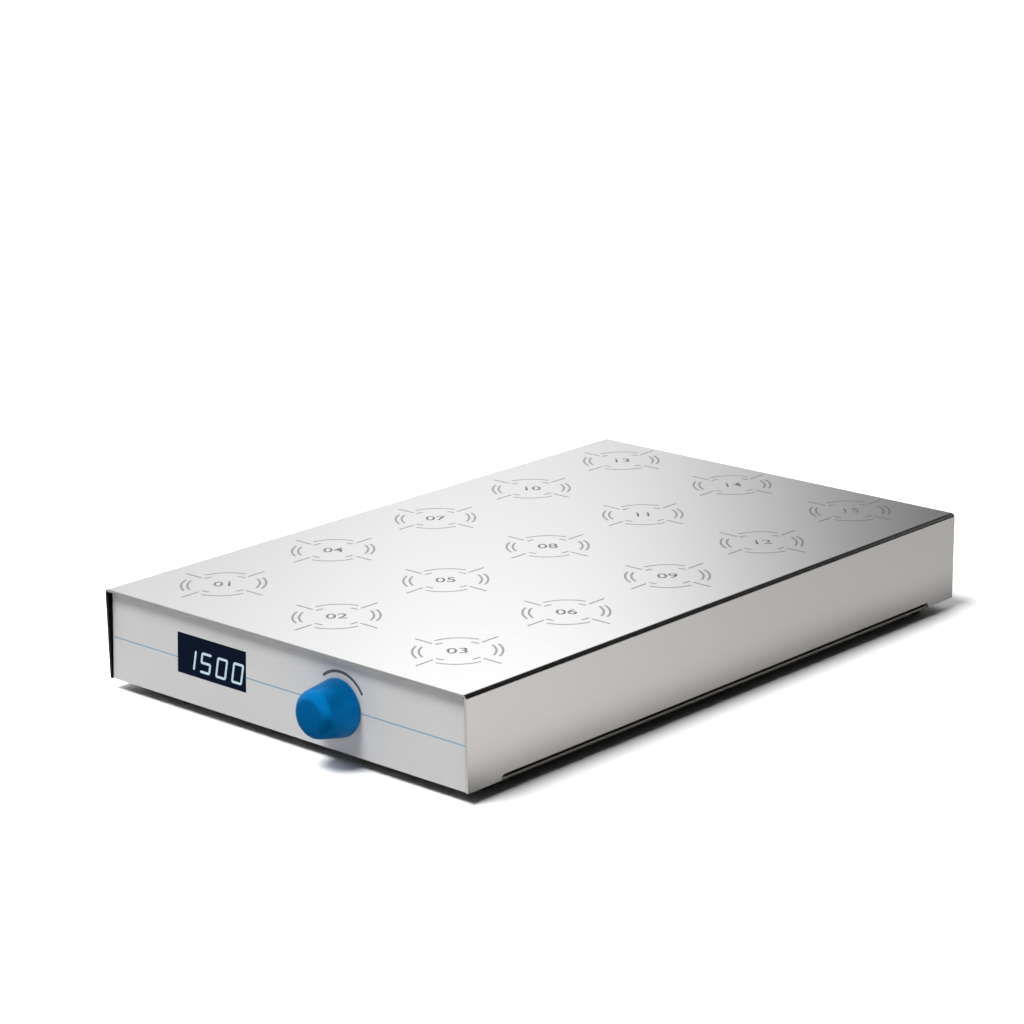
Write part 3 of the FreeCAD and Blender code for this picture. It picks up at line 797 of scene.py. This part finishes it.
    @classmethod
    def thicken(cls, piece: Piece, thickness: float) -> None:
        """Gives a flat piece its thickness, upwards from where it lies.

        Args:
            piece: the flat piece, facing +Z.
            thickness: in millimetres.
        """
        cls.take(piece)
        wall = piece.modifiers.new("wall", "SOLIDIFY")
        wall.thickness = thickness * MM
        wall.offset = 1.0
        bpy.ops.object.modifier_apply(modifier=wall.name)

    @classmethod
    def smooth(cls, piece: Piece, degrees: float) -> None:
        """Shades a piece smooth, except over edges that are sharper than this angle."""
        cls.take(piece)
        bpy.ops.object.shade_smooth_by_angle(angle=math.radians(degrees))


def joint(name: str) -> Mapping[str, Any]:
    """Finds a joint of the frame by its name."""
    return next(entry for entry in frame["joints"] if entry["name"] == name)


def dress(piece: Piece, material: Material) -> None:
    """Gives a piece one material all over.

    Args:
        piece: a new piece or a solid of the frame.
        material: its finish.
    """
    if not piece.material_slots:
        piece.data.materials.append(material)
    for slot in piece.material_slots:
        slot.material = material


def hand_over(piece: Piece, body: str, material: Material) -> None:
    """Finishes a new piece: its material and the body that carries it.

    Args:
        piece: the piece, in its place.
        body: the body that it moves with.
        material: its finish.
    """
    dress(piece, material)
    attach(piece, body)
    LOG.info("%s rides on %s", piece.name, body)


def finish_solids(names: Sequence[str], material: Material) -> None:
    """Gives solids of the frame their finish.

    Args:
        names: the solids' names.
        material: their finish.
    """
    for name in names:
        dress(frame["nodes"][name], material)
        LOG.info("%s is finished in %s", name, material.name)


@dataclass
class Drive:
    """The drives under the top: plate, pillars, motors, yokes and magnets, and the boards that run them."""

    positions: int = 15

    def dress(self) -> None:
        """Finishes the inner solids."""
        across = Grain.ACROSS_X
        zinc = DrawnMetal("zinc_plate", (0.72, 0.73, 0.74), (0.55, 0.56, 0.58)).material()
        brass = DrawnMetal("turned_brass", (0.80, 0.62, 0.30), (0.62, 0.45, 0.19), 0.26).material()
        mill = DrawnMetal("mill_aluminium", (0.74, 0.75, 0.76), (0.60, 0.61, 0.62), 0.38, across).material()
        yoke = DrawnMetal("yoke_steel", (0.50, 0.50, 0.51), (0.36, 0.36, 0.37), 0.36, across).material()
        nickel = DrawnMetal("magnet_nickel", (0.76, 0.75, 0.72), (0.64, 0.63, 0.60), 0.16).material()
        paint = Moulded("motor_paint", (0.045, 0.045, 0.05), (0.025, 0.025, 0.028), 0.38).material()
        black = Moulded("black_moulding", (0.030, 0.030, 0.031), (0.016, 0.016, 0.017), 0.40).material()
        board = CircuitBoard().material()
        numbers = [f"{n:02d}" for n in range(1, self.positions + 1)]
        finish_solids(["plate_pillars", "plate_bolts", "cover_brackets", "foot_studs"], zinc)
        finish_solids(["pot_shaft", "pot_body", "pot_nut", "jack_nut"], zinc)
        finish_solids(["display_spacers", "board_spacers", "jack_pin"], brass)
        finish_solids(["motor_plate"], mill)
        finish_solids(["stir_motors"], paint)
        finish_solids([f"stir_rotor_{n}" for n in numbers], yoke)
        finish_solids([f"stir_magnets_{n}" for n in numbers], nickel)
        finish_solids(["display_board", "control_board"], board)
        finish_solids(["display_module", "board_parts", "power_jack", "switch_body", "switch_rocker"], black)


@dataclass
class Case:
    """The folded cover and the tray that it closes on."""

    def dress(self) -> None:
        """Finishes the cover and the tray."""
        finish_solids(["top_cover"], BrushedSteel().material())
        finish_solids(["base_tray"], TraySteel().material())


@dataclass
class WorkTop:
    """The etched marks of the stirring positions, each with its number."""

    positions: int = 15
    line: float = 1.3
    lift: float = 0.015
    outer_arc: float = 23.7
    inner_arc: float = 20.2
    pair_half: float = 25.0
    pair_steps: int = 14
    long_arc: float = 21.4
    long_half: float = 33.0
    long_steps: int = 18
    dash_radius: float = 15.8
    dash_turn: float = 37.0
    dash_half: float = 9.0
    dash_steps: int = 6
    tail_from: float = 18.3
    tail_to: float = 31.2
    tail_point: float = 0.39
    number_height: float = 8.4
    number_weight: float = 0.06
    turn: float = 45.0

    def _mark(self) -> Piece:
        """Returns one mark without its number, about the origin."""
        strips = []
        for middle in (self.turn, self.turn + 180.0):
            across = middle + 90.0
            runs = [
                (self.outer_arc, middle, self.pair_half, self.pair_steps),
                (self.inner_arc, middle, self.pair_half, self.pair_steps),
                (self.long_arc, across, self.long_half, self.long_steps),
                (self.dash_radius, across - self.dash_turn, self.dash_half, self.dash_steps),
                (self.dash_radius, across + self.dash_turn, self.dash_half, self.dash_steps),
            ]
            for radius, centre, half, steps in runs:
                strips.append(Bench.arc("arc", radius, self.line, centre - half, 2 * half, steps))
        out = Matrix.Translation(((self.tail_from + self.tail_to) / 2 * MM, 0.0, 0.0))
        for quarter in range(4):
            tail = Bench.bar("tail", self.tail_to - self.tail_from, self.line, self.tail_point)
            turn = Matrix.Rotation(math.radians(self.turn + 45.0 + 90.0 * quarter), 4, "Z")
            strips.append(Bench.put(tail, turn @ out))
        return Bench.join("mark", strips)

    def build(self) -> None:
        """Etches every position."""
        ink = Ink("etched_grey", (0.30, 0.295, 0.29), (0.22, 0.215, 0.21), 0.24, metallic=0.95).material()
        pattern = self._mark()
        top = CAD_HIGH.z
        for number in range(1, self.positions + 1):
            low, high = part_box(f"stir_rotor_{number:02d}")
            centre = (low + high) / 2
            name = f"position_mark_{number:02d}"
            figure = Bench.words("figure", f"{number:02d}", self.number_height, self.number_weight)
            Bench.put(figure, Matrix.Rotation(math.radians(self.turn), 4, "Z"))
            mark = Bench.join(name, [Bench.copy(pattern, name), figure])
            Bench.thicken(mark, self.lift)
            Bench.put(mark, Matrix.Translation((centre.x, centre.y, top)))
            hand_over(mark, "case", ink)
        bpy.data.objects.remove(pattern)


@dataclass
class FrontPanel:
    """The leaning front panel: its print, its window and the lit digits."""

    margin: float = 1.0
    stripe_up: float = 24.4
    stripe_width: float = 0.75
    stripe_point: float = 0.1
    stripe_from_knob: float = 15.5
    # A dark grey arc over the upper right of the knob only.
    knob_arc_radius: float = 19.4
    knob_arc_width: float = 1.6
    knob_arc_start: float = 32.0
    knob_arc_sweep: float = 98.0
    knob_arc_steps: int = 40
    lift: float = 0.03
    reading: str = "1500"
    digit_pitch: float = 12.7
    digit_width: float = 8.5
    digit_height: float = 12.0
    digit_low: float = 19.2
    first_digit: float = 9.1
    one_shift: float = 0.3
    stroke: float = 1.4
    stroke_overlap: float = 0.77
    stroke_point: float = 0.644
    slant: float = 9.5

    def at_knob(self) -> Matrix:
        """Returns the panel's own frame at the knob's joint: X across, Y up the panel, Z out of it."""
        hinge = joint("knob_turn")
        across = Vector((1.0, 0.0, 0.0))
        out = Vector(hinge["axis"]).normalized()
        up = out.cross(across)
        turn = Matrix((across, up, out)).transposed().to_4x4()
        return Matrix.Translation(hinge["pos_m"]) @ turn

    def _at(self, across: float, up: float) -> Matrix:
        """Finds a place on the panel.

        Args:
            across: how far it is from the panel's middle, in millimetres.
            up: how far it is up from the panel's foot, in millimetres.

        Returns:
            The panel's own frame at that place.
        """
        low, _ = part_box("front_fascia")
        knob = self.at_knob()
        rise = knob.col[1].xyz
        foot = knob.translation - rise * ((knob.translation.z - low.z) / rise.z)
        knob.translation = Vector((0.0, foot.y, foot.z))
        return knob @ Matrix.Translation((across * MM, up * MM, 0.0))

    def _print(self) -> None:
        """Prints the stripe in three runs, and lays a dark grey arc over the upper right of the knob."""
        blue = Ink("stripe_blue", (0.34, 0.52, 0.66), (0.27, 0.45, 0.60)).material()
        grey = Ink("knob_arc_grey", (0.14, 0.14, 0.14), (0.11, 0.11, 0.11)).material()
        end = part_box("front_fascia")[1].x / MM - self.margin
        window_left, window_right = (corner.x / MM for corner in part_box("display_window"))
        knob = joint("knob_turn")["pos_m"][0] / MM
        runs = {
            "left": (-end, window_left),
            "middle": (window_right, knob - self.stripe_from_knob),
            "right": (knob + self.stripe_from_knob, end),
        }
        for side, (first, last) in runs.items():
            stripe = Bench.bar(f"stripe_{side}", last - first, self.stripe_width, self.stripe_point)
            Bench.thicken(stripe, self.lift)
            Bench.put(stripe, self._at((first + last) / 2, self.stripe_up))
            hand_over(stripe, "case", blue)
        # Lays the dark grey arc over the upper right of the knob.
        size = (self.knob_arc_radius, self.knob_arc_width)
        arc_strip = Bench.arc("knob_arc", *size, self.knob_arc_start, self.knob_arc_sweep, self.knob_arc_steps)
        Bench.thicken(arc_strip, self.lift)
        Bench.put(arc_strip, self.at_knob())
        hand_over(arc_strip, "case", grey)

    def _digit(self, name: str, figure: str) -> Piece:
        """Makes one seven-segment figure, its foot at the origin.

        Args:
            name: the piece's name.
            figure: the number that it shows.

        Returns:
            The lit segments as one flat piece.
        """
        lit = {"0": "abcdef", "1": "bc", "5": "acdfg"}[figure]
        width = self.digit_width - self.stroke
        half = (self.digit_height - self.stroke) / 2
        middle = self.digit_height / 2
        places = {
            "a": (0.0, middle + half, 0.0),
            "b": (width / 2, middle + half / 2, 90.0),
            "c": (width / 2, middle - half / 2, 90.0),
            "d": (0.0, middle - half, 0.0),
            "e": (-width / 2, middle - half / 2, 90.0),
            "f": (-width / 2, middle + half / 2, 90.0),
            "g": (0.0, middle, 0.0),
        }
        bars = []
        for letter in lit:
            across, up, turn = places[letter]
            length = (half if turn else width) + self.stroke_overlap
            bar = Bench.bar("segment", length, self.stroke, self.stroke_point)
            turned = Matrix.Rotation(math.radians(turn), 4, "Z")
            bars.append(Bench.put(bar, Matrix.Translation((across * MM, up * MM, 0.0)) @ turned))
        digit = Bench.join(name, bars)
        slope = Matrix.Identity(4)
        slope[0][1] = math.tan(math.radians(self.slant))
        digit.data.transform(slope)
        return digit

    def _digits(self) -> None:
        """Lights the reading up on the window."""
        lit = LitSegment().material()
        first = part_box("display_window")[0].x / MM + self.first_digit
        for index, figure in enumerate(self.reading):
            digit = self._digit(f"digit_{index + 1}", figure)
            Bench.thicken(digit, self.lift)
            shift = self.one_shift if figure == "1" else 0.0
            Bench.put(digit, self._at(first + shift + index * self.digit_pitch, self.digit_low))
            hand_over(digit, "case", lit)

    def build(self) -> None:
        """Finishes the panel and the window, and adds print and digits."""
        finish_solids(["front_fascia"], SatinPanel().material())
        finish_solids(["display_window"], DarkLens().material())
        self._print()
        self._digits()


@dataclass
class SpeedKnob:
    """The tapered knob on the potentiometer's shaft, hollow at its back and domed at its front."""

    gap: float = 0.6
    length: float = 22.0
    base_radius: float = 16.0
    front_radius: float = 12.5
    rounding: float = 6.0
    rounding_steps: int = 10
    skirt: float = 1.2
    edge: float = 0.5
    edge_middle: float = 0.15
    rim: float = 1.6
    hollow_inset: float = 2.2
    hollow_depth: float = 1.0
    bore: float = 4.0
    dome: float = 0.3
    dome_rings: Outline = ((0.5, 0.7), (0.85, 0.4))
    tip: float = 0.4
    sides: int = 96
    sharp: float = 40.0

    def _outline(self) -> list[tuple[float, float]]:
        """Returns the height and radius of each ring, from the back to the middle of the front."""
        base = self.base_radius
        front = self.gap + self.length - self.dome
        rings = [
            (self.gap + self.hollow_depth, self.bore),
            (self.gap + self.hollow_depth, base - self.hollow_inset),
            (self.gap, base - self.rim),
            (self.gap, base - self.edge),
            (self.gap + self.edge_middle, base - self.edge_middle),
            (self.gap + self.edge, base),
            (self.gap + self.skirt, base),
        ]
        slope = (base - self.front_radius) / (self.length - self.dome - self.skirt)
        lean = math.atan(slope)
        centre_height = front - self.rounding
        flank = base - slope * (centre_height - self.gap - self.skirt)
        centre_radius = flank - self.rounding / math.cos(lean)
        for step in range(self.rounding_steps + 1):
            angle = lean + (math.pi / 2 - lean) * step / self.rounding_steps
            height = centre_height + self.rounding * math.sin(angle)
            rings.append((height, centre_radius + self.rounding * math.cos(angle)))
        for rise, share in self.dome_rings:
            rings.append((front + self.dome * rise, centre_radius * share))
        rings.append((front + self.dome, self.tip))
        return rings

    def build(self, panel: FrontPanel) -> None:
        """Moulds the knob in the place of its solid.

        Args:
            panel: the panel that it stands on.
        """
        tones = ((0.0, 0.22, 0.60), (0.0, 0.20, 0.55))
        blue = Moulded("knob_blue", *tones, 0.30, fine=0.5, gloss=0.05, metallic=0.55).material()
        knob = Bench.turned("knob_cap", self._outline(), self.sides)
        Bench.smooth(knob, self.sharp)
        Bench.put(knob, panel.at_knob())
        finish_solids(["speed_knob"], blue)
        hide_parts("speed_knob")
        hand_over(knob, "knob", blue)


@dataclass
class Feet:
    """The rubber feet, each with a rounded sole and a sunk middle."""

    radius: float = 9.0
    bore: float = 3.2
    edge: float = 0.3
    band: float = 1.2
    flare: float = 0.25
    flare_height: float = 1.0
    sole: float = 7.6
    toe: float = 0.6
    toe_height: float = 0.3
    sunk: float = 0.8
    sunk_rim: float = 4.4
    sunk_floor: float = 4.0
    tip: float = 1.0
    sides: int = 48
    sharp: float = 35.0

    def build(self) -> None:
        """Moulds one foot and sets four of them in the place of their solid."""
        tones = ((0.030, 0.030, 0.030), (0.018, 0.018, 0.018))
        rubber = Moulded("foot_rubber", *tones, 0.62, fine=0.6, depth=0.05, gloss=0.25).material()
        low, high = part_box("feet")
        top = high.z / MM
        outline = [
            (top, self.bore),
            (top, self.radius - self.edge),
            (top - self.edge, self.radius),
            (top - self.band, self.radius),
            (self.flare_height, self.sole + self.flare),
            (self.toe_height, self.sole),
            (0.0, self.sole - self.toe),
            (0.0, self.sunk_rim),
            (self.sunk, self.sunk_floor),
            (self.sunk, self.tip),
        ]
        pattern = Bench.turned("foot", outline, self.sides)
        Bench.smooth(pattern, self.sharp)
        finish_solids(["feet"], rubber)
        inset = self.radius * MM
        corners = [(x, y) for x in (low.x + inset, high.x - inset) for y in (low.y + inset, high.y - inset)]
        for number, (x, y) in enumerate(corners, start=1):
            foot = Bench.copy(pattern, f"rubber_foot_{number}")
            Bench.put(foot, Matrix.Translation((x, y, 0.0)))
            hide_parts("feet")
            hand_over(foot, "case", rubber)
        bpy.data.objects.remove(pattern)


@dataclass
class RearWall:
    """The signs on the rocker switch in the rear wall."""

    sign: float = 4.2
    line: float = 0.6
    point: float = 0.08
    ring_steps: int = 40
    lift: float = 0.03
    rearward: float = 0.85
    level: float = 0.999

    def _faces(self) -> list[tuple[Vector, Vector]]:
        """Returns the centre and normal of the rocker's two pressing faces, the upper one first."""
        rocker = frame["nodes"]["switch_rocker"].data
        low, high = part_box("switch_rocker")
        middle = (low.z + high.z) / 2
        rear = [f for f in rocker.polygons if f.normal.y > self.rearward]
        found = []
        for upper in (True, False):
            faces = [f for f in rear if (f.center.z > middle) is upper]
            largest = max(faces, key=lambda f: f.area)
            same = [f for f in faces if f.normal.dot(largest.normal) > self.level]
            area = sum(f.area for f in same)
            centre = sum((f.center * f.area for f in same), Vector()) / area
            found.append((centre, largest.normal.copy()))
        return found

    def build(self) -> None:
        """Prints a bar on the upper half of the rocker and a ring on the lower one."""
        white = Ink("sign_white", (0.72, 0.72, 0.70), (0.60, 0.60, 0.58)).material()
        signs = [
            Bench.bar("sign_on", self.line, self.sign, self.point),
            Bench.arc("sign_off", (self.sign - self.line) / 2, self.line, 0.0, 360.0, self.ring_steps),
        ]
        across = Vector((-1.0, 0.0, 0.0))
        for sign, (centre, out) in zip(signs, self._faces()):
            up = out.cross(across)
            turn = Matrix((across, up, out)).transposed().to_4x4()
            Bench.thicken(sign, self.lift)
            Bench.put(sign, Matrix.Translation(centre) @ turn)
            hand_over(sign, "rocker", white)


@dataclass(frozen=True)
class Lamp:
    """One soft lamp, far away: its strength, its width and where it stands, with angles in degrees."""

    name: str
    energy: float
    softness: float
    azimuth: float
    height: float

    def hang(self) -> None:
        """Hangs the lamp, unseen in polished surfaces."""
        lamp = bpy.data.lights.new(self.name, "SUN")
        lamp.energy = self.energy
        lamp.angle = math.radians(self.softness)
        piece = bpy.data.objects.new(self.name, lamp)
        bpy.context.scene.collection.objects.link(piece)
        turn = Matrix.Rotation(math.radians(self.azimuth), 4, "Z")
        tilt = Matrix.Rotation(math.radians(90.0 - self.height), 4, "Y")
        piece.matrix_world = turn @ tilt
        piece.visible_glossy = False


@dataclass
class Studio:
    """Pale floor, soft light from the front left, a reflector in dark and light parts, and the camera.

    The floor and the reflector are in metres.  A reach says where a soft change starts and ends, in
    millimetres, or as a share of the reflector's sweep.
    """

    floor_size: float = 60.0
    floor_tone: float = 0.78
    # Painted shade in reflections: the levels below, apart from floor_seen, and the three reaches darken the
    # floor as polished surfaces see it, towards the back, beside the case and in front of it.
    floor_front: float = 0.97
    floor_back: float = 0.61
    side_shadow_level: float = 0.5
    front_shadow_level: float = 0.12
    floor_seen: float = 1.45
    back_reach: Reach = (-200.0, 380.0)
    side_reach: Reach = (145.0, 190.0)
    front_reach: Reach = (-235.0, -155.0)
    ambient: float = 0.015
    fill: float = 1.10
    fill_azimuth: float = 152.0
    fill_reach: float = 0.8
    key: Lamp = Lamp("key_lamp", 2.42, 23.0, 253.0, 66.0)
    card_radius: float = 3.0
    card_height: float = 6.0
    card_gap: float = 0.002
    card_sweep: float = 200.0
    card_steps: int = 100
    card_level: float = 1.62
    card_rise: float = 0.97
    rise_reach: Reach = (800.0, 1300.0)
    card_low: float = 0.80
    low_start: Reach = (0.44, 0.50)
    low_end: Reach = (0.64, 0.70)
    low_top: Reach = (1400.0, 1900.0)
    card_stops: Outline = (
        (0.00, 0.475),
        (0.27, 0.475),
        (0.30, 0.56),
        (0.32, 0.64),
        (0.335, 0.645),
        (0.35, 0.60),
        (0.36, 0.52),
        (0.37, 0.41),
        (0.38, 0.30),
        (0.39, 0.197),
        (0.40, 0.125),
        (0.42, 0.04),
        (0.45, 0.004),
        (0.95, 0.004),
        (1.00, 0.05),
    )
    camera_azimuth: float = 42.53
    camera_height: float = 18.16
    camera_roll: float = -0.81
    camera_reach: Colour = (1126.25, -1029.47, 507.28)
    sensor: float = 36.0
    focal: float = 106.97
    shift: tuple[float, float] = (-0.0176, 0.1055)
    clip: float = 200.0

    def _floor(self) -> None:
        """Lays the floor: plain to the camera, with painted shade in what polished surfaces see of it."""
        floor = Bench.start("floor", bpy.ops.mesh.primitive_plane_add, size=self.floor_size)
        shader = Shader.of_material("pale_floor")
        path = shader.add("ShaderNodeLightPath", {}, {})
        seen = Term(shader, path.outputs["Is Camera Ray"])
        gloss = Term(shader, path.outputs["Is Glossy Ray"])
        x, y, _ = shader.axes()
        # Painted shade, in reflections only: darker towards the back, beside the case's sides and in front of
        # the case.
        back = shader.step(y, *self.back_reach)
        away = self.side_shadow_level + (1.0 - self.side_shadow_level) * shader.step(abs(x), *self.side_reach)
        painted_front_shadow = self.front_shadow_level + (1.0 - self.front_shadow_level) * shader.step(y, *self.front_reach)
        mirrored = shader.mix(back, (self.floor_front,) * 3, (self.floor_back,) * 3)
        mirrored = shader.scaled(mirrored, away * painted_front_shadow)
        tone = shader.mix(gloss, (self.floor_tone,) * 3, mirrored)
        tone = shader.mix(seen, tone, (self.floor_seen,) * 3)
        plain = shader.add("ShaderNodeBsdfDiffuse", {}, {"Color": tone})
        shader.add("ShaderNodeOutputMaterial", {}, {"Surface": plain.outputs[0]})
        dress(floor, shader.owner)

    def _world(self) -> None:
        """Makes the sky white to look at and in reflections, and a soft light from the left otherwise."""
        world = bpy.data.worlds.new("studio")
        bpy.context.scene.world = world
        shader = Shader(world)
        path = shader.add("ShaderNodeLightPath", {}, {})
        seen = Term(shader, path.outputs["Is Camera Ray"])
        gloss = Term(shader, path.outputs["Is Glossy Ray"])
        clear = Term(shader, path.outputs["Is Transmission Ray"])
        bright = (seen + gloss + clear) > 0.5
        ray = shader.add("ShaderNodeTexCoord", {}, {})
        axes = shader.add("ShaderNodeSeparateXYZ", {}, {0: ray.outputs["Generated"]})
        x, y, _ = (Term(shader, socket) for socket in axes.outputs)
        around = math.radians(self.fill_azimuth)
        lean = math.cos(around) * x + math.sin(around) * y
        light = self.ambient + self.fill * shader.step(lean, 0.0, self.fill_reach)
        tone = shader.mix(bright, shader.scaled((1.0, 1.0, 1.0), light), (1.0, 1.0, 1.0))
        sky = shader.add("ShaderNodeBackground", {}, {"Color": tone, "Strength": 1.0})
        shader.add("ShaderNodeOutputWorld", {}, {"Surface": sky.outputs[0]})

    def _card(self) -> None:
        """Stands a curved card around the back of the object, which only polished surfaces see."""
        card = Bench.start("reflector", bpy.ops.mesh.primitive_plane_add, size=self.card_height)
        Bench.edit(card, Pick.VERTS, lambda centre, normal: centre.y > 0.0)
        bpy.ops.mesh.delete(type="VERT")
        bpy.ops.object.mode_set(mode="OBJECT")
        stand = Matrix.Translation((self.card_radius, 0.0, self.card_height / 2 + self.card_gap))
        upright = Matrix.Rotation(math.radians(-90.0), 4, "Y")
        card.data.transform(stand @ upright @ Matrix.Translation((0.0, self.card_height / 2, 0.0)))
        Bench.edit(card, Pick.VERTS, lambda centre, normal: True)
        Bench.spin(self.card_steps, self.card_sweep)
        bpy.ops.object.mode_set(mode="OBJECT")
        shader = Shader.of_material("reflector_glow")
        x, y, z = shader.axes()
        angle = x.angle_from(y) * (180.0 / math.pi)
        share = (angle + (self.card_sweep - 90.0)) * (1.0 / self.card_sweep)
        ramp = shader.add("ShaderNodeValToRGB", {"stops": self.card_stops}, {"Fac": share})
        level = self.card_level + self.card_rise * shader.step(z, *self.rise_reach)
        low = shader.step(share, *self.low_start) * (1.0 - shader.step(share, *self.low_end))
        low = low * (1.0 - shader.step(z, *self.low_top))
        tone = shader.mix(low, shader.scaled(ramp.outputs[0], level), (self.card_low,) * 3)
        glow = shader.add("ShaderNodeEmission", {}, {"Color": tone, "Strength": 1.0})
        shader.add("ShaderNodeOutputMaterial", {}, {"Surface": glow.outputs[0]})
        dress(card, shader.owner)
        for ray in ("camera", "diffuse", "shadow", "transmission", "volume_scatter"):
            setattr(card, f"visible_{ray}", False)

    def _camera(self) -> None:
        """Sets the camera at the picture's place and angle."""
        around = math.radians(self.camera_azimuth)
        down = math.radians(self.camera_height)
        roll = math.radians(self.camera_roll)
        level = Vector((math.cos(around), math.sin(around), 0.0))
        ahead = Vector((-math.sin(around), math.cos(around), 0.0))
        look = ahead * math.cos(down) - Vector((0.0, 0.0, math.sin(down)))
        rise = level.cross(look)
        right = level * math.cos(roll) + rise * math.sin(roll)
        up = right.cross(look)
        turn = Matrix((right, up, -look)).transposed().to_4x4()
        data = bpy.data.cameras.new("picture_camera")
        data.sensor_width = self.sensor
        data.lens = self.focal
        data.shift_x, data.shift_y = self.shift
        data.clip_end = self.clip
        camera = bpy.data.objects.new("picture_camera", data)
        bpy.context.scene.collection.objects.link(camera)
        low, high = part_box("top_cover")
        place = Vector((0.0, low.y, high.z)) + Vector(self.camera_reach) * MM
        camera.matrix_world = Matrix.Translation(place) @ turn
        bpy.context.scene.camera = camera

    def build(self) -> None:
        """Sets the studio up."""
        bpy.context.scene.view_settings.view_transform = "Standard"
        self._floor()
        self._world()
        self.key.hang()
        self._card()
        self._camera()


def main() -> None:
    """Builds and dresses the sub-assemblies in order."""
    logging.basicConfig(level=logging.INFO, format="%(message)s")
    panel = FrontPanel()
    Case().dress()
    Drive().dress()
    WorkTop().build()
    panel.build()
    SpeedKnob().build(panel)
    Feet().build()
    RearWall().build()
    Studio().build()


if __name__ == "__main__":
    main()
